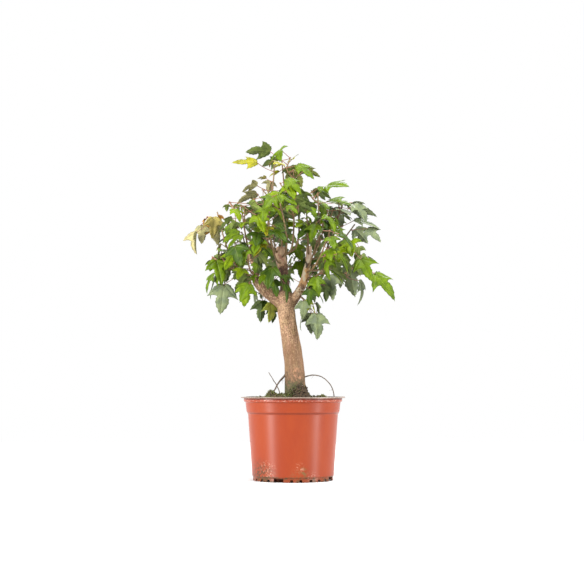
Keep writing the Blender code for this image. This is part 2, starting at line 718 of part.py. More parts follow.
def shoot_at(node, along, aside, mass, rng, others):
    """A side shoot on one side of a node, turned up towards the light, or None where there is no room."""
    reach = sum(mass.reach) / 3 * MM
    for _ in range(TRIES):
        length = reach * rng.uniform(*SHOOT_SHARE)
        lean = SHOOT_LEAN + rng.uniform(-0.3, 0.3)
        out = along * math.cos(lean) + aside * math.sin(lean)
        tip = node + (out + UP * 0.35).normalized() * length
        bends = (node - out * SUNK, node + out * length / 3, node + out * length * 0.6)
        path = bezier(*bends, tip, SHOOT_STEPS, SHOOT_RADIUS)
        new = twig("shoot", mass.name, path, SHOOT_SIDES)
        if inside([p for p, _ in path], mass) and not touches(new, others):
            return new
    return None


def leafy_node(path, share, turn, shoots, mass, rng, others):
    """The pieces at one node: a shoot on so many of its two sides, each with nodes of its own, and leaves on
    the sides that are left."""
    node, along, _ = spot(path, share)
    across = Matrix.Rotation(turn, 3, along) @ along.orthogonal().normalized()
    made = []
    for n, aside in enumerate((across, -across)):
        shoot = shoot_at(node, along, aside, mass, rng, others + made) if n < shoots else None
        if shoot:
            made.append(shoot)
            phase = rng.uniform(0, math.pi)
            for k, place in enumerate(SHOOT_NODES):
                made += leafy_node(shoot.path, place, phase + k * math.pi / 2, 0, mass, rng, others + made)
            continue
        leaf = leaf_at(node, along, aside, mass, rng, others + made)
        if leaf:
            made.append(leaf)
    return made


def grow(mass, stem, taken):
    """A mass's pieces: its stem with opposite leaves or side shoots at every node, each pair turned a quarter
    from the last. The shoots are at the topmost nodes."""
    rng = random.Random(mass.seed)
    made = [stem]
    phase = rng.uniform(0, math.pi)
    left = mass.shoots
    for n in range(mass.nodes):
        share = STEM_NODES[1] - (STEM_NODES[1] - STEM_NODES[0]) * n / max(1, mass.nodes - 1)
        shoots = min(left, 2 if n else 1)
        left -= shoots
        made += leafy_node(stem.path, share, phase + n * math.pi / 2, shoots, mass, rng, taken + made)
    return made


def limb_pieces(paths):
    """The limbs as pieces that foliage keeps clear of."""
    found = []
    for name, path in paths.items():
        shape = tube(path, TRUNK_SIDES if name == "trunk" else BOUGH_SIDES, BARK_WAVES)
        found.append(piece("limb", name, shape, shape, shape))
    snag = tube(smooth(RIGHT_SNAG, 1), ROOT_SIDES)
    found.append(piece("limb", "right_snag", snag, snag, snag))
    return found


def stems(paths, limbs):
    """Every mass's stem as a piece, by the mass's name."""
    found = {}
    for mass in MASSES:
        found[mass.name] = twig("stem", mass.name, stem_path(mass, paths[mass.bough], limbs), STEM_SIDES)
    return found


def fuse(name, pieces, finish):
    """One solid from a mass's pieces, by one Boolean union on a collection."""
    group = bpy.data.collections.new(name + "_pieces")
    bpy.context.scene.collection.children.link(group)
    body = solid(name, pieces[0].shape, finish)
    for n, part in enumerate(pieces[1:]):
        extra = solid(f"{name}_{n}", part.shape)
        bpy.context.scene.collection.objects.unlink(extra)
        group.objects.link(extra)
    step = body.modifiers.new("fuse", "BOOLEAN")
    step.operation = "UNION"
    step.operand_type = "COLLECTION"
    step.solver = "MANIFOLD"
    step.collection = group
    graph = bpy.context.evaluated_depsgraph_get()
    body.data = bpy.data.meshes.new_from_object(body.evaluated_get(graph))
    body.modifiers.clear()
    for extra in list(group.objects):
        bpy.data.objects.remove(extra)
    bpy.data.collections.remove(group)
    return body


def grow_all(paths):
    """Every mass's pieces by name, each mass clear of the limbs, of all stems and of the masses before it."""
    limbs = limb_pieces(paths)
    roots = stems(paths, limbs)
    taken = limbs + list(roots.values())
    grown = {}
    for mass in MASSES:
        grown[mass.name] = grow(mass, roots[mass.name], taken)
        taken += grown[mass.name][1:]
    return grown


def main():
    for old in list(bpy.data.objects):
        bpy.data.objects.remove(old)
    make_pot()
    make_soil()
    paths = limb_paths()
    make_limbs(paths)
    for name, pieces in grow_all(paths).items():
        fuse(name, pieces, material(name + "_green", LEAF_COLOUR, 0.5))
    for made in bpy.data.objects:
        made.data.shade_smooth()
        made.data.set_sharp_from_angle(angle=SHARP_ANGLE)


if __name__ == "__main__":
    main()
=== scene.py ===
"""The looks of a young trident maple, grown on as a bonsai, in its round nursery pot.

Metres, +Z up, with the origin at the centre of the pot's underside and the front towards -Y. The limbs and
the masses of foliage grow from the same named sizes and by the same rule as its solids do. Here the trunk and
boughs get bark with relief, the leaves their veins, teeth and tints, and the shoots finer twigs.
"""

import json
import math
import random
from collections import Counter, namedtuple

import bmesh
import bpy
import numpy as np
from mathutils import Matrix, Vector, noise
from mathutils.bvhtree import BVHTree

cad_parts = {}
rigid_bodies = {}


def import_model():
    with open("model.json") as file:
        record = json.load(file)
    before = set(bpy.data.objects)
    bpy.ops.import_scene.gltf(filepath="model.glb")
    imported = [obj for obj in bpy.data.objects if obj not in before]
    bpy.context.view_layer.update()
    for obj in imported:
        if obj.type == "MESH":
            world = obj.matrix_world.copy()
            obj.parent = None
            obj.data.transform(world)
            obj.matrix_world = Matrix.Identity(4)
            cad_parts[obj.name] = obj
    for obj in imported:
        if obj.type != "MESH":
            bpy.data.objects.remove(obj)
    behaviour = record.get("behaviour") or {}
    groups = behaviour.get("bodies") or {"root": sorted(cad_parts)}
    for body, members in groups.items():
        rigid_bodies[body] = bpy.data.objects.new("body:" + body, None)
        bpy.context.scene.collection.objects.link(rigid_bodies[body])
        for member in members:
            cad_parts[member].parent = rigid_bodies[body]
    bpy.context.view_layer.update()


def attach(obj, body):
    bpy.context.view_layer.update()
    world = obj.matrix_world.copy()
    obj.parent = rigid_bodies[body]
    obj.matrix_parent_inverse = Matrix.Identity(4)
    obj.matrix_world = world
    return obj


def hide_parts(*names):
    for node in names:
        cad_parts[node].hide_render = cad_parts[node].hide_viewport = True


MM = 0.001
UP = Vector((0, 0, 1))
CLEAR = 0.3 * MM

# Pot, turned round the Z axis
POT_WALL = 1.1 * MM
RIM_RADIUS = 65.0 * MM
RIM_HEIGHT = 103.0 * MM
BAND_RADIUS = 61.2 * MM
BAND_FOOT = 97.2 * MM
COLLAR_RADIUS = 59.2 * MM
COLLAR_FOOT = 84.6 * MM
COLLAR_FOOT_RADIUS = 57.8 * MM
BODY_TOP = 81.8 * MM
BODY_TOP_RADIUS = 56.0 * MM
BODY_FOOT = 5.8 * MM
BODY_FOOT_RADIUS = 50.7 * MM
FOOT_RADIUS = 49.6 * MM
PAD_RADIUS = 37.0 * MM
GUTTER_HEIGHT = 4.0 * MM
POT_EDGE = 0.7 * MM
RIM_WAVE = 0.35 * MM

# Openings in the foot: in each quarter a wide drain, and small notches that follow it
DRAIN_AT = math.radians(-21.0)
DRAIN_WIDTH = 12.5 * MM
DRAIN_HEIGHT = 5.0 * MM
NOTCH_WIDTH = 3.6 * MM
NOTCH_HEIGHT = 3.2 * MM
NOTCHES_AFTER_DRAIN = [math.radians(a) for a in (19.0, 32.0, 47.0, 61.0, 74.0)]
OPENING_CORNER = 0.8 * MM

# Soil and the mossy mounds on it: place, height and radius of each mound in mm, and the tufts of moss on it
SOIL_LEVEL = 97.0 * MM
SOIL_EDGE = 95.5 * MM
SOIL_RADIUS = COLLAR_RADIUS - 1.6 * MM
SOIL_GRAIN = 1.3 * MM
Mound = namedtuple("Mound", "x y height radius")
MOUNDS = [Mound(*(size * MM for size in row)) for row in (
    (-28, -10, 14, 8), (-12, -9, 10, 9), (10, -12, 22, 8), (37, -12, 9, 8),
    (-43, 6, 7, 9), (10, 16, 12, 11), (-20, 26, 8, 12), (32, 24, 7, 13),
)]
MOSS_TUFTS = (260, 200, 110, 260, 200, 120, 240, 240)
MOSS_HEIGHT = (1.2, 3.0)
MOSS_RADIUS = (0.3, 0.6)
SOIL_SEED = 21

# What lies on the soil, on its bare clod and on the trunk's foot: how many, and the least and largest in mm
CLOD = MOUNDS[2]
GRIT = (240, 0.4, 1.1)
CRUMBS = (700, 0.5, 1.8)
CLOD_CRUMBS = (300, 1.2, 3.2)
CLINGING = (620, 0.8, 2.0)

# Trunk, boughs and surface roots: knots that a smooth limb runs through, each x, y, z and radius in mm
TRUNK = (
    (5, 0, 98, 15.6), (3.8, 0, 111, 13.4), (2.4, 0, 128, 12.5), (-1.6, 0, 162, 11.6), (-6.2, 0, 196, 10.5),
    (-9, 0, 216, 10.6), (-10, 0, 227, 10.2), (-10.6, 0, 236, 7.6),
)
BOUGHS = {
    "left_bough": (
        (-13, -0.5, 219, 7.8), (-24, -2, 227, 7.4), (-35, -3.5, 235.5, 6.9), (-44.5, -4, 246.5, 5.8),
        (-47.5, -4, 254, 4), (-46.8, -4, 259, 2.6),
    ),
    "left_spur": (
        (-46.8, -4, 260.2, 2.2), (-49.5, -3, 268, 2), (-53.5, -1.5, 277, 1.9), (-54.2, 0, 289, 1.7),
    ),
    "middle_bough": (
        (-10.6, 0.5, 230, 6.3), (-10, 2.5, 244, 5.6), (-11.5, 4, 258, 5.5), (-14.5, 3, 270, 6.5),
        (-15.8, 2, 280, 6.2), (-15.8, 1.5, 290.5, 5.1),
    ),
    "right_bough": (
        (-3, -0.5, 218, 6), (4, -2, 228.5, 5.6), (9.8, -3, 238.5, 5.1), (13.8, -3, 249, 4.9),
        (16.6, -2, 260, 4.4), (19.6, -1.5, 272, 3.6), (20.4, -1.5, 291, 3.5),
    ),
}
RIGHT_SNAG = ((10, -3, 245.5, 0.9), (5, -3.5, 247.5, 0.8), (0.2, -4, 250.5, 0.7))
ROOTS = {
    "right_root": (
        (12, -3, 126.5, 0.9), (17.4, -3, 128.6, 0.8), (26, -4, 130, 0.7), (36, -5, 127.5, 0.6),
        (44.5, -6, 120.5, 0.6), (50, -6.5, 110, 0.6), (52.5, -6.5, 94, 0.6),
    ),
    "left_root": (
        (-7.5, -2.5, 133, 1.4), (-13, -3, 126.2, 1.2), (-18.5, -5, 119.5, 1), (-25.5, -8, 107, 0.8),
    ),
    "dry_stalk": (
        (-30, -13, 133.5, 0.4), (-24.5, -12.5, 124, 0.5), (-18.6, -12, 113.8, 0.6), (-16, -12, 106, 0.6),
    ),
}
TRUNK_SIDES = 14
BOUGH_SIDES = 10
ROOT_SIDES = 5
KNOT_STEPS = 2
BARK_WAVES = 0.035

# A leaf has three lobes: half of its outline, in leaf lengths across and along, its thickness in the middle,
# and how far the neck at its base reaches back, in petiole radii
LEAF_HALF = ((0.19, -0.01), (0.54, 0.42), (0.19, 0.44), (0.20, 0.64))
LEAF_CENTRE = 0.34
LEAF_THICKNESS = 0.020
NECK = 1.1
PETIOLE_RADIUS = 0.5 * MM
PETIOLE_SHARE = (0.4, 0.95)
PETIOLE_RISE = (-0.25, 0.65)
PETIOLE_SAG = (-0.18, 0.05)
LEAF_SIZES = (0.74, 1.14)
LEAF_CURL = (0.2, 0.9)
LEAF_FOLD = (0.05, 0.32)
LEAF_ROLL = 0.7
LEAF_SWING = 0.8

# Leaves hang more the lower they are in the crown
CROWN_FOOT = 230 * MM
CROWN_TOP = 345 * MM
DROOP_LOW = math.radians(64)
DROOP_HIGH = math.radians(14)
DROOP_SPREAD = math.radians(24)

# Masses whose leaves are wilted: they hang and are folded
WILTED = ("left_tip",)
WILTED_DROOP = math.radians(74)
WILTED_FOLD = (0.4, 0.9)
WILTED_ROLL = 1.3

# Cut ends that stay in view: place across and up, and the half width and height of the room before each one
Clearing = namedtuple("Clearing", "x z wide high")
CLEARINGS = (
    Clearing(-15.8 * MM, 279 * MM, 9 * MM, 16 * MM),
    Clearing(17.5 * MM, 270 * MM, 8 * MM, 25 * MM),
)
CLEARING_BACK = -4 * MM

# Shoots
STEM_RADIUS = (1.5 * MM, 0.9 * MM)
SHOOT_RADIUS = (1.05 * MM, 0.75 * MM)
STEM_STEPS = 5
STEM_SIDES = 4
SHOOT_SIDES = 3
SHOOT_STEPS = 2
STEM_NODES = (0.48, 0.92)
SHOOT_NODES = (0.58, 0.96)
SHOOT_LEAN = math.radians(50)
LEAN_SPREAD = 0.3
SHOOT_LIFT = 0.35
SHOOT_SHARE = (0.55, 0.95)
FOOT_STEPS = 200
TRIES = 14
SHRINK = 0.25
TURN_TO_ROOM = 0.9
MARGIN = 0.35 * MM
SUNK = 0.2 * MM
NEAR_NODE = 5.0 * MM
LEAST_SIDEWAYS = 0.35
LEAST_OPEN = 0.4
MOST_ALONG = 0.75

# Masses of foliage, in millimetres. The stem leaves its bough at a share of the bough's length, bends by
# "via" and ends at "tip". Its leaves stay in the round space at "heart" that reaches so far in x, y and z.
# Then come the numbers of its nodes and side shoots, the length of its leaves, the seed of its growth and the
# tints of its leaves. After a stroke come the tints of those below its heart.
Mass = namedtuple("Mass", "name bough share via tip heart reach nodes shoots leaf seed tints")
MASSES = [Mass(*row) for row in (
    ("left_tip", "left_bough", 0.8, (-80, -6, 266), (-95, -4, 334), (-104, -5, 304),
     (33, 30, 36), 3, 1, 31, 345, "straw straw olive"),
    ("left_hanging", "left_bough", 0.72, (-70, -14, 258), (-84, -14, 276), (-87, -12, 245),
     (26, 28, 44), 3, 2, 38, 384, "green green / grey_green"),
    ("left_low", "left_bough", 0.55, (-48, -20, 252), (-50, -26, 258), (-50, -24, 236),
     (30, 26, 36), 3, 0, 32, 250, "green bright / grey_green"),
    ("under_bough", "left_bough", 0.45, (-36, 14, 238), (-34, 22, 232), (-34, 20, 220),
     (24, 24, 28), 3, 0, 28, 134, "deep grey_green / sunlit deep"),
    ("left_front", "left_bough", 0.86, (-56, -26, 262), (-56, -38, 286), (-56, -38, 276),
     (36, 32, 30), 3, 2, 31, 55, "green deep / bright green"),
    ("left_high", "left_spur", 0.6, (-60, -18, 298), (-64, -28, 340), (-58, -28, 318),
     (36, 34, 30), 4, 2, 29, 231, "bright bright green"),
    ("left_back", "left_spur", 0.3, (-58, 26, 282), (-66, 44, 314), (-62, 44, 296),
     (38, 40, 40), 4, 1, 32, 77, "deep green"),
    ("fork", "middle_bough", 0.3, (-18, -22, 250), (-24, -30, 262), (-24, -32, 244),
     (26, 26, 28), 3, 0, 34, 156, "deep deep / deep"),
    ("centre_front", "middle_bough", 0.62, (-24, -28, 276), (-30, -40, 304), (-30, -38, 292),
     (30, 32, 30), 3, 2, 29, 213, "deep deep / green lime"),
    ("centre_high", "middle_bough", 0.88, (-28, -12, 304), (-34, -14, 344), (-30, -14, 330),
     (34, 32, 30), 4, 2, 29, 38, "green bright / deep green"),
    ("apex_left", "middle_bough", 0.94, (-24, 2, 340), (-23, 0, 400), (-52, 0, 376),
     (38, 34, 44), 4, 0, 31, 1085, "lime / olive straw"),
    ("apex_top", "middle_bough", 0.9, (-10, 10, 350), (-14, 8, 400), (-26, 6, 403),
     (38, 34, 25), 3, 2, 31, 1153, "green / lime"),
    ("apex_right", "middle_bough", 0.84, (6, -2, 340), (0, -4, 388), (18, -4, 388),
     (34, 32, 30), 3, 2, 30, 1280, "green / lime green"),
    ("apex_low", "middle_bough", 0.8, (0, -12, 316), (2, -18, 360), (0, -18, 350),
     (30, 32, 28), 3, 2, 27, 694, "green bright / green"),
    ("centre_right", "right_bough", 0.92, (20, -6, 304), (16, -10, 344), (16, -10, 330),
     (28, 30, 30), 3, 0, 26, 130, "bright green"),
    ("right_high", "right_bough", 0.86, (34, -2, 304), (31, 0, 358), (56, 0, 362),
     (38, 32, 24), 3, 2, 35, 976, "green deep green"),
    ("right_upper", "right_bough", 0.78, (44, 0, 296), (62, 0, 342), (82, 0, 336),
     (46, 34, 26), 4, 2, 36, 315, "green grey_green grey_green"),
    ("right_tip", "right_bough", 0.7, (54, 10, 290), (78, 10, 320), (94, 8, 308),
     (34, 30, 28), 2, 0, 42, 1048, "grey_green"),
    ("right_middle", "right_bough", 0.74, (28, -16, 290), (38, -20, 320), (38, -20, 310),
     (38, 30, 26), 3, 2, 29, 18, "deep deep green"),
    ("right_low", "right_bough", 0.55, (44, -18, 262), (66, -26, 286), (70, -26, 272),
     (36, 34, 32), 3, 2, 33, 49, "green bright / green"),
    ("right_low_tip", "right_bough", 0.46, (56, -10, 248), (92, -12, 276), (104, -12, 252),
     (32, 30, 36), 2, 1, 38, 922, "green green / green"),
    ("right_under", "right_bough", 0.38, (44, -4, 240), (72, -6, 256), (78, -6, 242),
     (32, 28, 32), 2, 0, 42, 153, "grey_green"),
    ("right_inner", "right_bough", 0.5, (30, -18, 252), (42, -24, 266), (43, -22, 254),
     (30, 30, 34), 3, 2, 34, 124, "green green / grey_green green"),
    ("fork_right", "right_bough", 0.28, (16, -16, 232), (26, -22, 248), (26, -22, 238),
     (26, 26, 26), 3, 0, 32, 15, "green deep / deep deep"),
    ("hanging", "right_bough", 0.2, (16, -8, 222), (22, -10, 212), (26, -10, 200),
     (29, 26, 32), 3, 0, 32, 694, "grey_green"),
    ("gap", "middle_bough", 0.5, (4, 22, 262), (12, 30, 286), (11, 30, 276),
     (25, 30, 34), 3, 1, 29, 243, "deep green green"),
    ("back_centre", "middle_bough", 0.66, (-22, 34, 280), (-26, 58, 312), (-26, 58, 298),
     (38, 40, 40), 4, 1, 32, 251, "deep green bright"),
    ("back_right", "right_bough", 0.6, (34, 28, 272), (50, 54, 300), (48, 54, 290),
     (42, 40, 38), 4, 1, 32, 188, "deep green bright"),
    ("back_high", "middle_bough", 0.82, (-14, 24, 320), (-16, 42, 358), (-16, 42, 348),
     (38, 36, 36), 4, 1, 30, 191, "deep green bright"),
    ("right_back_high", "right_bough", 0.9, (36, 26, 310), (46, 42, 338), (46, 42, 330),
     (38, 34, 32), 3, 1, 30, 118, "deep green bright"),
    ("right_front", "right_bough", 0.64, (32, -34, 268), (40, -52, 292), (42, -52, 278),
     (36, 34, 30), 3, 1, 31, 108, "deep green"),
    ("front_high", "middle_bough", 0.76, (-5, -30, 300), (-16, -46, 340), (-20, -46, 334),
     (34, 32, 28), 3, 1, 28, 135, "green"),
)]
SMALL_LEAF_TINTS = {
    "left_tip": "orange olive",
    "apex_left": "olive grey_green",
    "centre_front": "lime straw bright",
    "hanging": "sunlit",
}

# Roundness of the finished surfaces, and the grain of the bark that the limbs are grown together from
POT_FINE_SIDES = 192
SOIL_FINE_SIDES = 120
SOIL_FINE_RINGS = 48
TWIG_SIDES = 8
BARK_SIDES = 40
CUT_SIDES = 28
BARK_GRAIN = 0.6 * MM
BARK_SMOOTHING = 8
BARK_OUT = 0.15 * MM

# Lumps, fissures and grain of the bark: their scales across and along a limb, and how far they rise in mm
BARK_RELIEF = ((70, 45, 0.55), (320, 90, 0.24), (900, 350, 0.12))

# Rings of a cut end, as shares of its limb's radius and rises in mm, and of a bud, in bud sizes along and out
CUT_RINGS = ((1.02, -0.5), (1.0, 0.25), (0.86, 0.42), (0.55, 0.30), (0.25, 0.40))
BUD_RINGS = ((-0.3, 0.5), (0.3, 0.95), (1.1, 0.75), (2.0, 0.12))
BUD_SIZE = 0.55 * MM
BUD_PLACES = (0.3, 0.55, 0.8, 0.97)

# A leaf's stalk, which clasps its shoot and widens into the blade, and the hair roots
STALK_RADIUS = 0.42 * MM
STALK_CLASP = 0.38 * MM
STALK_NECK = 0.14 * MM
STALK_BOW = (-0.07, 0.02)
ROOT_SEED = 5
HAIR_ROOTS = 4
HAIR_LENGTH = (2, 6)
HAIR_RADIUS = 0.22 * MM

# Small leaves that fill a mass between its large ones
YOUNG_TRIES = 6
YOUNG_SIZES = (0.34, 0.62)
YOUNG_PLACES = (0.3, 1.0)
YOUNG_SEED = 1000

# Edges of half a leaf, in leaf lengths across and along: base to side lobe, side lobe to notch, notch to tip
LOBE_EDGE = ((0.012, 0.0), (0.10, -0.035), (0.20, -0.012), (0.32, 0.09), (0.44, 0.24), (0.58, 0.45))
NOTCH_EDGE = ((0.58, 0.45), (0.42, 0.405), (0.28, 0.39), (0.185, 0.435))
TIP_EDGE = ((0.185, 0.435), (0.215, 0.53), (0.205, 0.65), (0.14, 0.80), (0.055, 0.93), (0.0, 1.03))
LOBE_STEPS = 11
NOTCH_STEPS = 5
TIP_STEPS = 9
TOOTH = 0.020
VEIN_HALF = 0.011
VEIN_DIP = 0.010
RIPPLE = 0.0028
SWELL = 0.004
LEAF_KINDS = 8
LEAF_KIND_SEED = 40
LEAF_SEED = 9
LEAF_HALF_THICK = 0.0045

# How far leaves differ: breadth and slant of their side lobes, breadth of their tip, depth, number and start
# of the waves along their edge, and how much the lobes hang
LOBE_BREADTH = (0.84, 1.04)
LOBE_SLANT = (-0.04, 0.03)
TIP_BREADTH = (0.86, 1.12)
WAVE_DEPTH = (0.006, 0.02)
WAVE_NUMBER = (7, 12)
WAVE_START = (0, 6)
LOBE_HANG = (0.0, 0.35)

# Tints as they look in the scene's light, as red, green and blue out of 255, and the share of them that a
# base colour has, because the lights add up to more than plain daylight
BASE_SHARE = 0.53
LEAF_TINTS = {
    "deep": (60, 88, 14),
    "green": (104, 134, 10),
    "bright": (134, 162, 4),
    "lime": (174, 166, 28),
    # sunlit is a pale yellow-green that paints the glow of leaves lit from behind: painted light.
    "sunlit": (206, 214, 92),
    "straw": (212, 196, 146),
    "olive": (206, 184, 110),
    "orange": (228, 150, 58),
    "grey_green": (138, 150, 120),
}
DRY_TINTS = ("straw", "olive", "orange")
TINTS = {
    "underside": (148, 160, 132),
    "vein": (196, 206, 132),
    "leaf shade": (24, 40, 10),
    "leaf light": (206, 218, 60),
    "leaf glow": (190, 210, 40),
    "petiole": (176, 112, 84),
    "stem": (150, 118, 70),
    "stem shade": (90, 70, 40),
    "bark": (196, 158, 118),
    "bark pale": (224, 188, 146),
    "bark pink": (206, 154, 128),
    "bark green": (166, 138, 88),
    "bark shade": (132, 92, 60),
    "bark grain": (118, 80, 52),
    "pores": (74, 46, 32),
    "low bark": (122, 90, 54),
    "low bark stain": (118, 80, 40),
    "foot stain": (84, 64, 30),
    "bough": (246, 210, 160),
    "bough pink": (186, 120, 92),
    "salmon": (222, 160, 122),
    "pale knot": (236, 208, 160),
    "dark sleeve": (84, 50, 36),
    "sawn bark": (238, 198, 160),
    "sawn pink": (176, 112, 92),
    "peeled": (246, 190, 128),
    "bare wood": (255, 236, 200),
    "old bark": (110, 72, 50),
    "bough end": (232, 198, 172),
    "black ring": (58, 38, 30),
    "cut wood": (234, 194, 152),
    "moss": (80, 86, 34),
    "moss light": (112, 116, 46),
    "soil": (43, 34, 17),
    "soil shade": (34, 24, 18),
    "soil light": (104, 82, 56),
    "clod": (50, 28, 20),
    "crumbs": (84, 62, 32),
    "root": (112, 92, 70),
    "root shade": (72, 58, 44),
    "grit": (206, 200, 186),
    "grit shade": (176, 166, 146),
    "pot": (164, 64, 21),
    "pot shade": (148, 48, 17),
    "crease": (112, 34, 14),
    "rim band": (166, 66, 50),
    "glint": (246, 196, 176),
    "rim shadow": (84, 28, 22),
    "dust": (146, 134, 120),
    "stain": (96, 70, 40),
}

# Patches on the bark: grain across and along, where it starts and ends, strength and tint
BARK_LAYERS = (
    (110, 40, 0.48, 0.60, 0.5, "bark pink"),
    (150, 70, 0.52, 0.62, 0.65, "bark green"),
    (280, 200, 0.50, 0.61, 0.6, "bark shade"),
    (600, 430, 0.52, 0.60, 0.5, "bark pale"),
    (820, 560, 0.50, 0.57, 0.9, "bark grain"),
)

# Marks on the pot: place and reach in mm, kind, tint and strength
POT_MARKS = (
    ((-32, -40, 14), 17, "scratch", (236, 192, 162), 0.55),
    ((-40, -31, 2), 32, "smear", (80, 62, 40), 1.0),
    ((12, -50, 12), 9, "smear", (112, 98, 54), 0.8),
    ((2, -51, 9), 10, "smear", (150, 84, 50), 0.5),
    ((8, -50, 18), 9, "scratch", (240, 190, 160), 0.4),
    ((24, -44, 5), 12, "scratch", (236, 190, 160), 0.5),
    ((30, 42, 10), 14, "scratch", (236, 200, 176), 0.6),
)

# Soft boxes: place, height aimed at, width, height and power
SOFT_BOXES = {
    "left_box": ((-1.5, -0.9, 0.6), 0.15, 0.26, 1.2, 74),
    "right_box": ((1.6, -0.8, 0.6), 0.15, 0.24, 1.2, 56),
    "top_box": ((0.2, -0.5, 2.0), 0.2, 1.0, 1.0, 54),
    "back_box": ((0.3, 1.3, 1.5), 0.2, 0.9, 0.9, 20),
}
FLOOR_GREY = 0.55

# The camera stands in front at the height of the trunk's foot and looks up a little
CAMERA_PLACE = (-1.25 * MM, -1724 * MM, 125 * MM)
CAMERA_RISE = math.radians(3.613)
CAMERA_LENS = 85


def between_rings(low, high):
    """Faces between two rings of point numbers, one of which may be the same point all round."""
    corners = zip(low, low[1:] + low[:1], high[1:] + high[:1], high)
    return [list(dict.fromkeys(four)) for four in corners]


def turned(profile, sides):
    """A shape turned round the Z axis from (radius, height) points that start and end on the axis."""
    points, rows = [], []
    for radius, height in profile:
        if radius == 0:
            rows.append([len(points)] * sides)
            points.append(Vector((0, 0, height)))
            continue
        rows.append(list(range(len(points), len(points) + sides)))
        for i in range(sides):
            turn = math.tau * i / sides
            points.append(Vector((radius * math.cos(turn), radius * math.sin(turn), height)))
    return points, [face for low, high in zip(rows, rows[1:]) for face in between_rings(low, high)]


def curve(a, b, c, d, t):
    """A point between b and c on the smooth curve through all four."""
    return (2 * b + (c - a) * t + (2 * a - 5 * b + 4 * c - d) * t**2 + (3 * b - a - 3 * c + d) * t**3) / 2


def extended(knots):
    """Knots with one more at either end, so that a curve reaches the first and the last."""
    return [knots[0] * 2 - knots[1]] + knots + [knots[-1] * 2 - knots[-2]]


def smooth(knots, steps):
    """Points with a radius along a smooth curve through knots, each x, y, z and radius in millimetres."""
    rows = extended([Vector(k) * MM for k in knots])
    path = [curve(*rows[i : i + 4], n / steps) for i in range(len(rows) - 3) for n in range(steps)]
    return [(Vector(p[:3]), p[3]) for p in path + [rows[-2]]]


def tube(path, sides, waves=0.0, extra=0.0):
    """A limb round a path of (point, radius), with flat ends. Waves make it less round, extra thicker."""
    points, faces, ring = [], [], []
    along = (path[1][0] - path[0][0]).normalized()
    across = along.orthogonal().normalized()
    last = len(path) - 1
    for n, (centre, radius) in enumerate(path):
        ahead = (path[min(n + 1, last)][0] - path[max(n - 1, 0)][0]).normalized()
        across = (across - ahead * across.dot(ahead)).normalized()
        aside = ahead.cross(across)
        for i in range(sides):
            turn = math.tau * i / sides
            swell = 1 + waves * math.sin(3 * turn + 0.7 * n) + waves * math.sin(5 * turn - 1.3 * n)
            reach = radius * swell + extra
            points.append(centre + (across * math.cos(turn) + aside * math.sin(turn)) * reach)
        before, ring = ring, list(range(n * sides, (n + 1) * sides))
        faces += between_rings(before, ring)
    return points, faces + [list(range(sides))[::-1], ring]


def block(width, depth, low, high, out, turn):
    """A box that stands out from the Z axis at an angle: a cutter for the pot's foot."""
    points = []
    for z in (low, high):
        for x, y in ((-width, -depth), (width, -depth), (width, depth), (-width, depth)):
            points.append(Matrix.Rotation(turn, 4, "Z") @ Vector((x / 2, y / 2 - out, z)))
    return points, [[3, 2, 1, 0], [4, 5, 6, 7], [0, 1, 5, 4], [1, 2, 6, 5], [2, 3, 7, 6], [3, 0, 4, 7]]


def joined(shapes):
    points, faces = [], []
    for more, sides in shapes:
        faces += [[len(points) + i for i in face] for face in sides]
        points += more
    return points, faces


def ground(x, y):
    """Height of the soil at a place."""
    out = math.hypot(x, y) / BAND_RADIUS
    height = SOIL_LEVEL - (SOIL_LEVEL - SOIL_EDGE) * out**4
    for mound in MOUNDS:
        away = ((x - mound.x) ** 2 + (y - mound.y) ** 2) / mound.radius**2
        height += mound.height * math.exp(-away) * max(0.0, 1 - out**6)
    return height


# A part of a mass. Later pieces are tested against its faces. It is itself tested with the margin all round:
# whole against other masses, and without its first stretch against its own mass, which it springs from.
Piece = namedtuple("Piece", "kind mass shape faces whole outer centre radius plan")


def piece(kind, mass, shape, whole, outer, plan=None):
    points = shape[0]
    centre = sum(points, Vector()) / len(points)
    radius = max((p - centre).length for p in points) + MARGIN
    trees = [BVHTree.FromPolygons(*s) for s in (shape, whole, outer)]
    return Piece(kind, mass, shape, *trees, centre, radius, plan)


def twig(kind, mass, path, sides):
    """A stem or a shoot as a piece."""
    whole, outer = (tube(part, sides, 0, MARGIN) for part in (path, path[1:]))
    return piece(kind, mass, tube(path, sides), whole, outer, path)


def crosses_itself(new):
    """Whether two faces of a piece that share no corner cross."""
    faces = new.shape[1]
    return any(a < b and not set(faces[a]) & set(faces[b]) for a, b in new.faces.overlap(new.faces))


def touches(new, others):
    """Whether a new piece comes nearer than the margin to one of the others."""
    for other in others:
        if (new.centre - other.centre).length < new.radius + other.radius:
            tested = new.outer if other.mass == new.mass else new.whole
            if tested.overlap(other.faces):
                return True
    return False


def hides_cut_end(point):
    """Whether a point stands before one of the cut ends that stay in view."""
    if point.y > CLEARING_BACK:
        return False
    return any(((point.x - c.x) / c.wide) ** 2 + ((point.z - c.z) / c.high) ** 2 < 1 for c in CLEARINGS)


def inside(points, mass):
    """Whether all points are in the mass's own space, a box with well rounded edges, and hide no cut end."""
    heart, reach = Vector(mass.heart) * MM, Vector(mass.reach) * MM
    for p in points:
        if sum((away / most) ** 4 for away, most in zip(p - heart, reach)) > 1 or hides_cut_end(p):
            return False
    return True


def bezier(a, b, c, d, steps, radii):
    """A path of (point, radius) along a cubic curve, its radius tapering from the first to the second."""
    path = []
    for i in range(steps + 1):
        t = i / steps
        u = 1 - t
        point = a * u**3 + b * 3 * u * u * t + c * 3 * u * t * t + d * t**3
        path.append((point, radii[0] + (radii[1] - radii[0]) * t))
    return path


def spot(path, share):
    """Point, direction and radius at a share of a path's length."""
    at = share * (len(path) - 1)
    n = min(int(at), len(path) - 2)
    here, ahead = path[n][0], path[n + 1][0]
    return here.lerp(ahead, at - n), (ahead - here).normalized(), path[n][1]


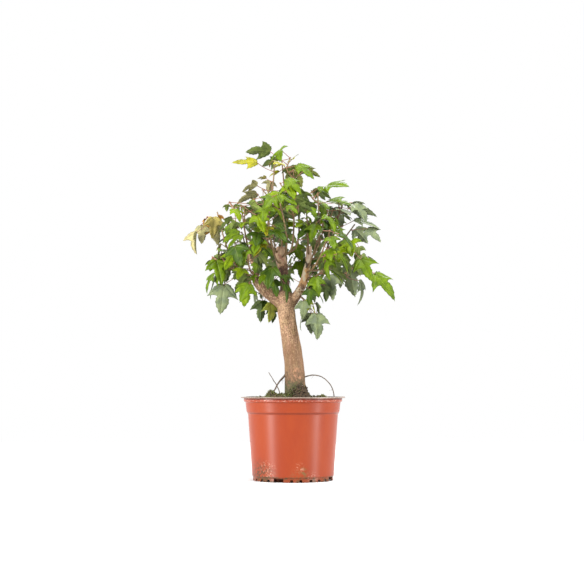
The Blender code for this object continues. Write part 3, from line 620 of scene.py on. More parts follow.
def square_to(along, turn):
    """A way square to another, turned round it by an angle."""
    return Matrix.Rotation(turn, 3, along) @ along.orthogonal().normalized()


def distance(limb, point):
    """How far a point near a limb is outside it, less than zero inside it."""
    nearest, normal, _, away = limb.faces.find_nearest(point)
    within = away < 2 * STEM_RADIUS[0] and (point - nearest).dot(normal) < -0.1 * away
    return -away if within else away


def stem_path(mass, bough, limbs):
    """The mass's main shoot. It stands off its bough's bark, square to it, then bends towards its tip."""
    via, tip = Vector(mass.via) * MM, Vector(mass.tip) * MM
    axis, along, radius = spot(bough, mass.share)
    out = via - axis
    out = (out - along * out.dot(along)).normalized()
    foot = axis + out * radius
    for _ in range(FOOT_STEPS):
        path = bezier(foot, foot + out * (via - foot).length * 0.45, via, tip, STEM_STEPS, STEM_RADIUS)
        ring = tube(path, STEM_SIDES)[0][:STEM_SIDES]
        if min(distance(limb, c) for limb in limbs for c in ring + [foot]) > CLEAR:
            break
        foot += out * CLEAR / 6
    return path


def leaf_frame(base, out, droop, roll):
    """Axes of a blade: across, along and up from its face, at its base."""
    flat = Vector((out.x, out.y, 0)).normalized()
    along = flat * math.cos(droop) - UP * math.sin(droop)
    face = (UP - along * UP.dot(along)).normalized()
    face = Matrix.Rotation(roll, 3, along) @ face
    return Matrix((along.cross(face), along, face)).transposed().to_4x4(), base


def bend(x, y, leaf):
    """A point of the flat blade, x across and y along in leaf lengths, put on the folded, curled blade."""
    turn = leaf["curl"]
    sink = (1 - math.cos(turn * y)) / turn
    lift = leaf["fold"] * abs(x) - 0.5 * turn * x * x
    return Vector((x, math.sin(turn * y) / turn, lift - sink)) * leaf["length"]


def leaf_shape(leaf, extra=0.0, skipped=0.0):
    """A leaf and its petiole as one closed shape: a blade that is thick in the middle with a thin rim, on a
    three-sided petiole whose end is its base. A share of the petiole can be skipped."""
    (rotation, base), length, half = leaf["frame"], leaf["length"], PETIOLE_RADIUS + extra
    width = half / length
    thick = LEAF_THICKNESS / 2 + extra / length
    grow = 1 + 2 * extra / length
    right = [(x * grow, y * grow) for x, y in LEAF_HALF]
    left = [(-x, y) for x, y in reversed(right)]
    rim = [(width, 0.0), *right, (0.0, grow), *left, (-width, 0.0)]
    points = [bend(x, y, leaf) for x, y in rim]
    middle = bend(0, LEAF_CENTRE, leaf)
    points += [middle + UP * thick * length, middle - UP * thick * length]
    points.append(Vector((0, NECK * width, -NECK * width)) * length)
    points = [rotation @ p + base for p in points]
    count = len(rim)
    top, bottom, keel = count, count + 1, count + 2
    faces = [[i, (i + 1) % count, top] for i in range(count)]
    faces += [[(i + 1) % count, i, bottom] for i in range(count - 1)]
    faces += [[0, keel, bottom], [keel, count - 1, bottom]]
    across = (rotation @ Vector((1, 0, 0))).normalized()
    start, end = leaf["petiole"]
    ahead = (end - start).normalized()
    side = (across - ahead * across.dot(ahead)).normalized()
    up = side.cross(ahead)
    centre = start.lerp(end, skipped)
    shoulder = centre + up * half / 2
    points += [shoulder + side * half, shoulder - side * half, centre - up * half]
    stalk_end = [count + 3, count + 4, count + 5]
    return points, faces + between_rings([0, count - 1, keel], stalk_end) + [stalk_end]


def petiole_way(node, along, aside, rise, swing, mass):
    """Which way a petiole leaves its node: out to its side and up, drawn to the room that its mass has."""
    room = (Vector(mass.heart) * MM - node) / (sum(mass.reach) / 3 * MM)
    pull = min(1.0, room.length) * TURN_TO_ROOM
    out = aside + along * 0.3 + UP * rise + room.normalized() * pull
    return Matrix.Rotation(swing, 3, "Z") @ out.normalized()


def leaf_at(node, along, aside, mass, rng, others):
    """A leaf on one side of a node, or None where every try leaves the mass's space or touches something."""
    height = min(1, max(0, (node.z - CROWN_FOOT) / (CROWN_TOP - CROWN_FOOT)))
    middle, fold, roll = DROOP_LOW + (DROOP_HIGH - DROOP_LOW) * height, LEAF_FOLD, LEAF_ROLL
    if mass.name in WILTED:
        middle, fold, roll = WILTED_DROOP, WILTED_FOLD, WILTED_ROLL
    for attempt in range(TRIES):
        length = mass.leaf * MM * rng.uniform(*LEAF_SIZES) * (1 - SHRINK * attempt / TRIES)
        stalk = length * rng.uniform(*PETIOLE_SHARE)
        swing = rng.uniform(-LEAF_SWING, LEAF_SWING)
        out = petiole_way(node, along, aside, rng.uniform(*PETIOLE_RISE), swing, mass)
        base = node + out * stalk + UP * stalk * rng.uniform(*PETIOLE_SAG)
        facing = Matrix.Rotation(rng.uniform(-LEAF_SWING, LEAF_SWING), 3, "Z") @ out
        droop = middle + rng.uniform(-DROOP_SPREAD, DROOP_SPREAD)
        leaf = {
            "length": length,
            "curl": rng.uniform(*LEAF_CURL),
            "fold": rng.uniform(*fold),
            "frame": leaf_frame(base, facing, droop, rng.uniform(-roll, roll)),
            "petiole": [node - out * SUNK, base],
        }
        axes = leaf["frame"][0]
        if (base - node).normalized().dot(axes.col[1].xyz + axes.col[2].xyz) < LEAST_OPEN:
            continue
        if out.dot(aside) < LEAST_SIDEWAYS or abs(out.dot(along)) > MOST_ALONG:
            continue
        shape = leaf_shape(leaf)
        if not inside(shape[0], mass):
            continue
        outer = leaf_shape(leaf, MARGIN, min(0.6, NEAR_NODE / stalk))
        new = piece("leaf", mass.name, shape, leaf_shape(leaf, MARGIN), outer, leaf)
        if not crosses_itself(new) and not touches(new, others):
            return new
    return None


def shoot_at(node, along, aside, mass, rng, others):
    """A side shoot on one side of a node, turned up towards the light, or None where there is no room."""
    for _ in range(TRIES):
        length = sum(mass.reach) / 3 * MM * rng.uniform(*SHOOT_SHARE)
        lean = SHOOT_LEAN + rng.uniform(-LEAN_SPREAD, LEAN_SPREAD)
        out = along * math.cos(lean) + aside * math.sin(lean)
        tip = node + (out + UP * SHOOT_LIFT).normalized() * length
        bends = (node - out * SUNK, node + out * length / 3, node + out * length * 0.6)
        path = bezier(*bends, tip, SHOOT_STEPS, SHOOT_RADIUS)
        new = twig("shoot", mass.name, path, SHOOT_SIDES)
        if inside([p for p, _ in path], mass) and not touches(new, others):
            return new
    return None


def leafy_node(path, share, turn, shoots, mass, rng, others):
    """The pieces at one node: a shoot on so many of its two sides, each with nodes of its own, and leaves on
    the sides that are left."""
    node, along, _ = spot(path, share)
    across = square_to(along, turn)
    made = []
    for n, aside in enumerate((across, -across)):
        shoot = shoot_at(node, along, aside, mass, rng, others + made) if n < shoots else None
        if shoot:
            made.append(shoot)
            phase = rng.uniform(0, math.pi)
            for k, place in enumerate(SHOOT_NODES):
                made += leafy_node(shoot.plan, place, phase + k * math.pi / 2, 0, mass, rng, others + made)
            continue
        leaf = leaf_at(node, along, aside, mass, rng, others + made)
        if leaf:
            made.append(leaf)
    return made


def grow(mass, stem, taken):
    """A mass's pieces: its stem with opposite leaves or side shoots at every node, each pair turned a quarter
    from the last. The shoots are at the topmost nodes."""
    rng = random.Random(mass.seed)
    made = [stem]
    phase = rng.uniform(0, math.pi)
    left = mass.shoots
    for n in range(mass.nodes):
        share = STEM_NODES[1] - (STEM_NODES[1] - STEM_NODES[0]) * n / max(1, mass.nodes - 1)
        shoots = min(left, 2 if n else 1)
        left -= shoots
        made += leafy_node(stem.plan, share, phase + n * math.pi / 2, shoots, mass, rng, taken + made)
    return made


def limb_pieces(paths):
    """The limbs as pieces that foliage keeps clear of."""
    shapes = {"right_snag": tube(smooth(RIGHT_SNAG, 1), ROOT_SIDES)}
    for name, path in paths.items():
        shapes[name] = tube(path, TRUNK_SIDES if name == "trunk" else BOUGH_SIDES, BARK_WAVES)
    return [piece("limb", name, shape, shape, shape) for name, shape in shapes.items()]


def grow_all(paths, limbs):
    """Every mass's pieces by name, each mass clear of the limbs, of all stems and of the masses before it."""
    grown = {}
    for mass in MASSES:
        path = stem_path(mass, paths[mass.bough], limbs)
        grown[mass.name] = [twig("stem", mass.name, path, STEM_SIDES)]
    taken = limbs + [stem for (stem,) in grown.values()]
    for mass in MASSES:
        grown[mass.name] = grow(mass, *grown[mass.name], taken)
        taken += grown[mass.name][1:]
    return grown


def light_of(level):
    """A colour channel as the amount of light that it stands for."""
    share = level / 255
    return share / 12.92 if share <= 0.04045 else ((share + 0.055) / 1.055) ** 2.4


def levels(tint):
    """A tint's red, green and blue, where it may be given by its name."""
    return TINTS[tint] if isinstance(tint, str) else tint


def colour(tint):
    """A tint as a base colour."""
    return (*(light_of(level) * BASE_SHARE for level in levels(tint)), 1)


def between(first, second, share):
    """The tint at a share of the way from one to the other."""
    return tuple(a + (b - a) * share for a, b in zip(levels(first), levels(second)))


class Look:
    """A material's nodes, with short calls for what most of the materials here share. Its shade is the colour
    that layers are laid over."""

    def __init__(self, name, base, roughness):
        self.material = bpy.data.materials.new(name)
        self.material.use_nodes = True
        self.tree = self.material.node_tree
        self.shader = self.tree.nodes["Principled BSDF"]
        self.shader.inputs["Base Color"].default_value = colour(base)
        self.shader.inputs["Roughness"].default_value = roughness
        self.shade = base
        self.place = self.tree.nodes.new("ShaderNodeTexCoord").outputs["Object"]
        self.x, _, self.z = self.node("ShaderNodeSeparateXYZ", {0: self.place})

    def feed(self, socket, value):
        """Gives a socket a number, a tint, or what another node makes."""
        if isinstance(value, bpy.types.NodeSocket):
            self.tree.links.new(value, socket)
        else:
            socket.default_value = colour(value) if socket.type == "RGBA" else value

    def node(self, kind, inputs, **settings):
        """The outputs of a new node whose inputs are fed by their names or numbers."""
        made = self.tree.nodes.new(kind)
        for key, value in settings.items():
            setattr(made, key, value)
        for key, value in inputs.items():
            self.feed(made.inputs[key], value)
        return made.outputs

    def stretched(self, across, along):
        """Places scaled by one number across and another along Z, so that a pattern runs up a limb."""
        return self.node("ShaderNodeMapping", {"Vector": self.place, "Scale": (across, across, along)})[0]

    def grain(self, across, along, detail=4.0, rough=0.6):
        inputs = {"Vector": self.stretched(across, along), "Scale": 1.0, "Detail": detail, "Roughness": rough}
        return self.node("ShaderNodeTexNoise", inputs)["Fac"]

    def cells(self, across, along):
        inputs = {"Vector": self.stretched(across, along), "Scale": 1.0}
        return self.node("ShaderNodeTexVoronoi", inputs)["Distance"]

    def ramp(self, value, low, high, first=0.0, last=1.0):
        """The value taken from the range low to high and spread from first to last, held beyond it. Where low
        is the larger, the ramp falls."""
        if low > high:
            low, high, first, last = high, low, last, first
        inputs = {"Value": value, "From Min": low, "From Max": high, "To Min": first, "To Max": last}
        return self.node("ShaderNodeMapRange", inputs, interpolation_type="SMOOTHSTEP")["Result"]

    def patches(self, across, along, low, high, detail=3.0, rough=0.6):
        """A grain spread so that only patches of it stay."""
        return self.ramp(self.grain(across, along, detail, rough), low, high)

    def past(self, value, low, high):
        """A ramp between two heights, or two places across, in millimetres."""
        return self.ramp(value, low * MM, high * MM)

    def maths(self, operation, first, second):
        return self.node("ShaderNodeMath", {0: first, 1: second}, operation=operation)[0]

    def times(self, product, *others):
        for other in others:
            product = self.maths("MULTIPLY", product, other)
        return product

    def near(self, centre, reach, soft=0.5):
        """One at a place and zero past its reach, both in millimetres, fading over the outer part."""
        inputs = {0: self.place, 1: Vector(centre) * MM}
        away = self.node("ShaderNodeVectorMath", inputs, operation="DISTANCE")["Value"]
        return self.past(away, reach, reach * (1 - soft))

    def mix(self, share, first, second):
        """The colour that is the first where the share is zero and the second where it is one. A mix node's
        colours are its inputs 6 and 7 and its output 2."""
        return self.node("ShaderNodeMix", {0: share, 6: first, 7: second}, data_type="RGBA")[2]

    def layer(self, tint, share, *masks):
        """Lays a tint over the shade where all the masks are."""
        self.shade = self.mix(self.times(share, *masks), self.shade, tint)

    def finish(self, height, strength, depth):
        """Gives the material its shade and a relief."""
        self.feed(self.shader.inputs["Base Color"], self.shade)
        inputs = {"Height": height, "Strength": strength, "Distance": depth}
        self.feed(self.shader.inputs["Normal"], self.node("ShaderNodeBump", inputs)[0])
        return self.material


def leaf_look(name, tint, roughness, gloss, through):
    """A blotched leaf that lets a share of the light through."""
    look = Look(name, tint, roughness)
    look.shader.inputs["Specular IOR Level"].default_value = gloss
    blotches = look.patches(130, 130, 0.36, 0.64, 4)
    look.shade = look.mix(blotches, between(tint, "leaf shade", 0.2), between(tint, "leaf light", 0.12))
    look.finish(look.grain(420, 420, 3), 0.08, 0.2 * MM)
    glow = look.node("ShaderNodeBsdfTranslucent", {"Color": between(tint, "leaf glow", 0.35)})[0]
    both = look.node("ShaderNodeMixShader", {0: through, 1: look.shader.outputs[0], 2: glow})[0]
    look.feed(look.tree.nodes["Material Output"].inputs["Surface"], both)
    return look.material


def twig_look(name, tint):
    look = Look(name, tint, 0.55)
    look.shade = look.mix(look.patches(500, 120, 0.35, 0.7, 4), between(tint, "stem shade", 0.4), tint)
    return look.finish(look.grain(1400, 500), 0.3, 0.2 * MM)


def cut_wood_look():
    look = Look("cut_wood", "cut wood", 0.75)
    rings = look.patches(700, 700, 0.4, 0.65, 4)
    look.shade = look.mix(rings, "cut wood", between("cut wood", "bark shade", 0.5))
    return look.finish(look.grain(900, 900), 0.5, 0.3 * MM)


def plain_look(name, tint, other, roughness):
    """Two close tints in fine grains."""
    look = Look(name, tint, roughness)
    look.shade = look.mix(look.patches(800, 800, 0.4, 0.6, 4), tint, other)
    return look.finish(look.grain(1200, 1200), 0.4, 0.3 * MM)


def bark_look():
    """Tan bark mottled with pink, green and pale patches and fine streaks, moss at its foot, a dark bough and
    a peeled one."""
    look = Look("trident_bark", "bark", 0.8)
    look.shade = look.mix(look.patches(55, 22, 0.38, 0.66), between("bark", "bark shade", 0.35), "bark")
    uneven = look.maths("ADD", look.z, look.times(look.grain(90, 90, 3), 0.03))
    foot = look.past(uneven, 204, 172)
    look.layer("low bark", 0.85, foot)
    boughs = look.past(look.z, 215, 235)
    look.layer("bough", 0.6, boughs)
    look.layer("bough pink", 0.6, boughs, look.patches(230, 170, 0.50, 0.57))
    for across, along, start, end, share, tint in BARK_LAYERS:
        look.layer(tint, share, look.patches(across, along, start, end))
    look.layer("low bark stain", 0.55, foot)
    look.layer("pores", 0.45, look.ramp(look.cells(430, 260), 0.26, 0.10))
    look.layer("salmon", 0.5, look.near((6, -14, 130), 13), look.patches(420, 300, 0.44, 0.62, 5))
    look.layer("pale knot", 1, look.near((-10.5, -11, 134), 2.4))
    upper = look.past(look.z, 226, 238)
    middle = look.times(upper, look.past(look.x, -26, -20), look.past(look.x, 1, -3))
    worn = look.ramp(look.grain(200, 140, 3), 0.42, 0.56, 0.5, 0.92)
    look.layer("dark sleeve", worn, middle, look.past(uneven, 285, 280))
    top = look.times(middle, look.past(uneven, 283, 288))
    look.layer("sawn bark", 0.8, top)
    look.layer("sawn pink", 0.7, top, look.patches(210, 150, 0.50, 0.56))
    right = look.times(upper, look.past(look.x, 1, 4))
    look.layer("peeled", 0.9, right, look.past(look.z, 238, 244), look.patches(90, 60, 0.37, 0.45))
    look.layer("bare wood", 0.9, right, look.patches(130, 80, 0.48, 0.54))
    look.layer("old bark", 0.6, right, look.patches(160, 90, 0.60, 0.66, 3, 0.5))
    look.layer("bough end", 0.85, right, look.past(look.z, 273, 276))
    look.layer("black ring", 0.9, right, look.past(uneven, 281.5, 283.5), look.past(uneven, 288.5, 286.5))
    height = look.maths("ADD", look.z, look.times(look.grain(140, 140), 0.04))
    look.layer("foot stain", 0.8, look.past(height, 168, 140), look.patches(240, 200, 0.40, 0.54, 4))
    green = look.mix(look.patches(420, 420, 0.42, 0.6, 4), "moss", between("moss", "soil", 0.5))
    look.layer(green, 0.9, look.past(height, 144, 130))
    return look.finish(look.maths("ADD", look.grain(620, 260, 5, 0.7), look.grain(160, 80)), 0.9, 0.5 * MM)


def pot_look():
    """Thin satin plastic: soft upright glints, painted glints on its band, painted shade in its crease, soil
    stains near the foot, pale scratches and a dusty rim.
    """
    look = Look("terracotta_plastic", "pot", 0.43)
    look.shader.inputs["Specular IOR Level"].default_value = 0.27
    look.shader.inputs["Anisotropic"].default_value = 0.75
    look.shader.inputs["Anisotropic Rotation"].default_value = 0.25
    round_axis = look.node("ShaderNodeTangent", {}, direction_type="RADIAL", axis="Z")[0]
    look.feed(look.shader.inputs["Tangent"], round_axis)
    look.shade = look.mix(look.patches(38, 14, 0.35, 0.7), between("pot", "pot shade", 0.35), "pot")
    # A dark line painted along the groove between the collar and the body: painted shade in the crease.
    look.layer("crease", 0.6, look.past(look.z, 82.0, 82.7), look.past(look.z, 84.2, 83.4))
    high = look.past(look.z, 96.5, 98.5)
    look.layer("rim band", 0.35, high)
    # Pale flecks painted on the band below the flange: painted glints.
    look.layer("glint", 0.6, high, look.patches(420, 900, 0.54, 0.64))
    look.layer("rim shadow", 0.75, look.past(look.z, 99.4, 100.2), look.past(look.z, 101.6, 101.2))
    look.layer("dust", 0.9, look.past(look.z, 101.4, 102.0))
    kinds = {
        "scratch": look.patches(330, 520, 0.53, 0.60, 6, 0.7),
        "smear": look.patches(260, 300, 0.45, 0.56, 5),
    }
    for centre, reach, kind, tint, share in POT_MARKS:
        look.layer(tint, share, look.near(centre, reach, 0.8), kinds[kind])
    foot = look.past(look.z, 7.5, 5.5)
    look.layer("stain", 0.32, foot)
    look.layer("stain", 0.8, foot, look.patches(150, 190, 0.47, 0.56, 5))
    return look.finish(look.grain(60, 20, 2), 0.12, 0.3 * MM)


def soil_look():
    look = Look("mossy_soil", "soil", 0.95)
    look.shade = look.mix(look.patches(520, 520, 0.42, 0.62, 6, 0.7), "soil shade", "soil light")
    look.layer("moss", 1, look.patches(110, 110, 0.47, 0.56, 4), look.past(look.z, 97.5, 103.5))
    look.layer("clod", 0.9, look.near((11, -14, 108), 13, 0.35))
    return look.finish(look.grain(700, 700, 6, 0.75), 1.0, 1.0 * MM)


def leaf_materials():
    """For each tint: the upper side, the underside, and the veins of both."""
    made = {}
    for name, tint in LEAF_TINTS.items():
        under = between(tint, "underside", 0.2 if name in DRY_TINTS else 0.62)
        made[name] = [
            leaf_look(f"leaf_{name}", tint, 0.44, 0.11, 0.16),
            leaf_look(f"leaf_{name}_under", under, 0.6, 0.12, 0.20),
            leaf_look(f"leaf_{name}_vein", between(tint, "vein", 0.4), 0.45, 0.16, 0.15),
            leaf_look(f"leaf_{name}_vein_under", between(under, "vein", 0.4), 0.55, 0.12, 0.15),
        ]
    return made


def placed(name, data):
    """A new object in the scene."""
    made = bpy.data.objects.new(name, data)
    bpy.context.scene.collection.objects.link(made)
    return made


def plain_object(name, points, faces):
    mesh = bpy.data.meshes.new(name)
    mesh.from_pydata(points, [], faces)
    mesh.update()
    return placed(name, mesh)


def evaluated(made):
    """The object with its modifiers applied."""
    graph = bpy.context.evaluated_depsgraph_get()
    made.data = bpy.data.meshes.new_from_object(made.evaluated_get(graph))
    made.modifiers.clear()
    return made


class Batch:
    """Shapes that end up joined in one piece, each face with the number of its material."""

    def __init__(self):
        self.points, self.faces, self.looks = [], [], []
        self.count = 0

    def add(self, points, faces, looks=None):
        self.points.append(np.array([tuple(p) for p in points], float).reshape(-1, 3))
        self.faces += [[self.count + i for i in face] for face in faces]
        self.looks += looks or [0] * len(faces)
        self.count += len(points)

    def piece(self, name, materials):
        made = plain_object(name, np.concatenate(self.points).tolist(), self.faces)
        for material in materials:
            made.data.materials.append(material)
        made.data.polygons.foreach_set("material_index", self.looks)
        made.data.shade_smooth()
        made.data.update()
        return made


def curve_points(knots, steps):
    """Points along a smooth curve through 2-D knots, steps + 1 of them, evenly spread over the knots."""
    rows = extended([Vector(k) for k in knots])
    found = []
    for n in range(steps + 1):
        at = n / steps * (len(rows) - 3)
        i = min(int(at), len(rows) - 4)
        found.append(curve(*rows[i : i + 4], at - i))
    return found


def toothed(edge, rng):
    """An edge with small teeth at every other point, all leaning towards its far end."""
    made = [edge[0]]
    for before, here, after in zip(edge, edge[1:], edge[2:]):
        ahead = (after - before).normalized()
        out = Vector((ahead.y, -ahead.x))
        push = TOOTH * rng.uniform(0.7, 1.3) if len(made) % 2 else -TOOTH * 0.4
        made.append(here + out * push + ahead * push * 0.5)
    return made + [edge[-1]]


class LeafKind:
    """A flat leaf of one outline, cut into faces along its veins: its places in leaf lengths with their
    numbers and heights, its faces, which of them lie on a vein, and which places are on its border."""

    def __init__(self, seed):
        rng = random.Random(seed)
        self.index, self.heights, self.faces, self.on_vein = {}, [], [], []
        start, shared = Vector((0, 0)), LOBE_STEPS - NOTCH_STEPS
        for side in (1, -1):
            wide, low, slim = (rng.uniform(*most) for most in (LOBE_BREADTH, LOBE_SLANT, TIP_BREADTH))
            lobe, notch = ([(x * wide, y + low * y) for x, y in edge] for edge in (LOBE_EDGE, NOTCH_EDGE))
            tip = [notch[-1]] + [(x * slim, y) for x, y in TIP_EDGE[1:]]
            lobe = toothed(curve_points(lobe, LOBE_STEPS), rng)
            notch = curve_points(notch, NOTCH_STEPS)
            tip = toothed(curve_points(tip, TIP_STEPS), rng)
            into = [start.lerp(notch[-1], n / shared) for n in range(shared)]
            vein = [start.lerp(lobe[-1], n / LOBE_STEPS) for n in range(LOBE_STEPS + 1)]
            rib_steps = shared + TIP_STEPS
            rib = [Vector((0, TIP_EDGE[-1][1] * n / rib_steps)) for n in range(rib_steps + 1)]
            self.strip(vein, [start] + lobe[1:], side, -1)
            self.strip(vein, into + notch[::-1], side, 1)
            self.strip(rib, into + tip, side, -1)
        edges = Counter(frozenset(pair) for face in self.faces for pair in zip(face, face[1:] + face[:1]))
        self.border = sorted({i for pair, times in edges.items() if times == 1 for i in pair})

    def point(self, place, side, height):
        """The number of a place, which strips that meet there share."""
        key = (round(place.x * side, 5), round(place.y, 5))
        if key not in self.index:
            self.index[key] = len(self.index)
            self.heights.append(height)
        return self.index[key]

    def strip(self, vein, edge, side, turn):
        """Faces between a vein and an edge with as many points."""
        last = len(vein) - 1
        rows = []
        for n, (a, b) in enumerate(zip(vein, edge)):
            s = n / last
            gap = (b - a).length
            thin = VEIN_HALF * (1 - 0.75 * s) / gap if gap > 1e-6 else 0.0
            puff = SWELL + RIPPLE * math.sin(s * math.pi * 9) * min(1.0, gap * 5)
            levels_across = ((0.0, -VEIN_DIP), (min(thin, 0.45), 0.0), (0.55, puff), (1.0, 0.0))
            rows.append([self.point(a.lerp(b, share), side, height) for share, height in levels_across])
        for low, high in zip(rows, rows[1:]):
            for k in range(3):
                corners = list(dict.fromkeys([low[k], low[k + 1], high[k + 1], high[k]]))
                if len(corners) < 3:
                    continue
                if side * turn > 0:
                    corners.reverse()
                self.faces.append(corners)
                self.on_vein.append(k == 0)


def leaf_sheet(leaf, kind, rng):
    """A finished leaf: its upper and lower faces, closed at the edge, and each face's material number."""
    x, y = np.array(list(kind.index)).T
    turn, count = leaf["curl"], len(x)
    depth, often, phase = (rng.uniform(*most) for most in (WAVE_DEPTH, WAVE_NUMBER, WAVE_START))
    wave = depth * np.sin(y * often + phase + 2 * np.sign(x)) * np.abs(x) * 3
    hang = rng.uniform(*LOBE_HANG) * np.clip(np.abs(x) - 0.2, 0, None) ** 1.5
    lift = leaf["fold"] * np.abs(x) - 0.5 * turn * x * x + wave - hang
    flat = np.stack([x, np.sin(turn * y) / turn, lift - (1 - np.cos(turn * y)) / turn], 1)
    height = np.array(kind.heights)
    half = np.full(count, LEAF_HALF_THICK)
    half[kind.border] = 0.0
    upper, lower = (flat + np.stack([0 * x, 0 * x, height + out], 1) for out in (half, -half))
    slot = np.arange(count) + count
    slot[kind.border] -= count
    rotation, base = leaf["frame"]
    points = np.concatenate([upper, lower]) * leaf["length"] @ np.array(rotation.to_3x3()).T + np.array(base)
    faces = kind.faces + [[int(slot[i]) for i in reversed(face)] for face in kind.faces]
    looks = [2 if vein else 0 for vein in kind.on_vein] + [3 if vein else 1 for vein in kind.on_vein]
    kept = sorted({i for face in faces for i in face})
    used = np.zeros(len(points), int)
    used[kept] = np.arange(len(kept))
    return points[kept], [[int(used[i]) for i in face] for face in faces], looks


def petiole(leaf, rng):
    """A leaf's stalk: swollen where it clasps the shoot, and bowed a little by the blade's weight."""
    start, end = leaf["petiole"]
    sag = UP * (end - start).length * rng.uniform(*STALK_BOW)
    path = []
    for n in range(7):
        t = n / 6
        radius = STALK_RADIUS + STALK_CLASP * max(0.0, 1 - t * 6) + STALK_NECK * max(0.0, t * 6 - 5)
        path.append((start.lerp(end, t) + sag * 4 * t * (1 - t), radius))
    return tube(path, 6)


def fine_twig(path, rng):
    """A shoot with the swellings of its nodes, and its cut or dried tip."""
    rows = []
    for n, ((a, near), (b, far)) in enumerate(zip(path, path[1:])):
        before, after = path[max(n - 1, 0)][0], path[min(n + 2, len(path) - 1)][0]
        for t in (0, 0.25, 0.5, 0.75):
            swell = 1 + 0.06 * rng.uniform(-1, 1)
            rows.append((curve(before, a, b, after, t), (near + (far - near) * t) * swell * 0.92))
    end, radius = path[-1]
    ahead = (end - path[-2][0]).normalized()
    rows += [(end, radius * 0.95), (end + ahead * radius * 0.5, radius * 0.6)]
    return tube(rows, TWIG_SIDES)


def bud(place, ahead):
    """A small pointed bud."""
    return tube([(place + ahead * at * BUD_SIZE, thick * BUD_SIZE) for at, thick in BUD_RINGS], 5)


def young_leaves(mass, made, taken):
    """Small leaves between the large ones of a mass, on its stem and side shoots."""
    rng = random.Random(mass.seed + YOUNG_SEED)
    found = []
    twigs = [p for p in made if p.kind != "leaf"]
    for _ in range(YOUNG_TRIES):
        path = rng.choice(twigs).plan
        node, along, _ = spot(path, rng.uniform(*YOUNG_PLACES))
        aside = square_to(along, rng.uniform(0, math.tau))
        small = mass._replace(leaf=mass.leaf * rng.uniform(*YOUNG_SIZES))
        leaf = leaf_at(node, along, aside, small, rng, taken + found)
        if leaf:
            found.append(leaf)
    return found


def leaf_tint(mass, leaf, small, rng):
    """A leaf's tint, from those of its mass."""
    if small and mass.name in SMALL_LEAF_TINTS:
        return rng.choice(SMALL_LEAF_TINTS[mass.name].split())
    upper, _, lower = mass.tints.partition(" / ")
    below = lower and leaf.centre.z < mass.heart[2] * MM
    return rng.choice((lower if below else upper).split())


def make_foliage(paths, materials):
    limbs = limb_pieces(paths)
    grown = grow_all(paths, limbs)
    taken = limbs + [p for pieces in grown.values() for p in pieces]
    kinds = [LeafKind(LEAF_KIND_SEED + n) for n in range(LEAF_KINDS)]
    leaves = {tint: Batch() for tint in LEAF_TINTS}
    stalks, twigs = Batch(), Batch()
    rng = random.Random(LEAF_SEED)
    for mass in MASSES:
        young = young_leaves(mass, grown[mass.name], taken)
        taken += young
        for part in grown[mass.name] + young:
            if part.kind == "leaf":
                points, faces, looks = leaf_sheet(part.plan, rng.choice(kinds), rng)
                leaves[leaf_tint(mass, part, part in young, rng)].add(points, faces, looks)
                stalks.add(*petiole(part.plan, rng))
                continue
            twigs.add(*fine_twig(part.plan, rng))
            for share in BUD_PLACES:
                place, along, radius = spot(part.plan, share)
                aside = square_to(along, rng.uniform(0, math.tau))
                twigs.add(*bud(place + aside * radius * 0.8, (aside + along).normalized()))
    names = [mass.name + "_foliage" for mass in MASSES]
    made = [batch.piece("leaves_" + tint, materials[tint]) for tint, batch in leaves.items() if batch.count]
    made.append(stalks.piece("leaf_stalks", [materials["stalk"]]))
    made.append(twigs.piece("shoots", [materials["shoot"]]))
    for piece_made in made:
        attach(piece_made, "root")
        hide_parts(*names)


def bark_relief(place):
    """How far the bark stands out at a place."""
    height = 0.0
    for across, along, rise in BARK_RELIEF:
        height += rise * noise.noise(Vector((place.x * across, place.y * across, place.z * along)))
    return height * MM


def cut_end(path):
    """A sawn face with a rough, slightly domed middle, a little proud of the limb's end."""
    (before, _), (end, radius) = path[-2:]
    ahead = (end - before).normalized()
    points, faces = tube([(end + ahead * rise * MM, radius * wide) for wide, rise in CUT_RINGS], CUT_SIDES)
    for p in points:
        p += ahead * noise.noise(p * 500) * 0.35 * MM
    return points, faces


def make_wood(paths, bark, cut_wood):
    """The trunk and boughs grown into one skin, with relief and with pale cut ends."""
    limbs = [paths[name] for name in ("trunk", *BOUGHS)] + [smooth(RIGHT_SNAG, 1)]
    made = plain_object("trunk_and_boughs", *joined([tube(path, BARK_SIDES, BARK_WAVES) for path in limbs]))
    remesh = made.modifiers.new("grown_together", "REMESH")
    remesh.mode = "VOXEL"
    remesh.voxel_size = BARK_GRAIN
    ease = made.modifiers.new("eased", "SMOOTH")
    ease.iterations = BARK_SMOOTHING
    mesh = evaluated(made).data
    mesh.update()
    normals = [v.normal.copy() for v in mesh.vertices]
    for v, normal in zip(mesh.vertices, normals):
        v.co += normal * (bark_relief(v.co) + BARK_OUT)
    mesh.materials.clear()
    mesh.materials.append(bark)
    mesh.shade_smooth()
    ends = Batch()
    for name in ("middle_bough", "right_bough", "left_spur"):
        ends.add(*cut_end(paths[name]))
    for piece_made in (made, ends.piece("cut_ends", [cut_wood])):
        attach(piece_made, "root")
        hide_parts("trunk", *BOUGHS)


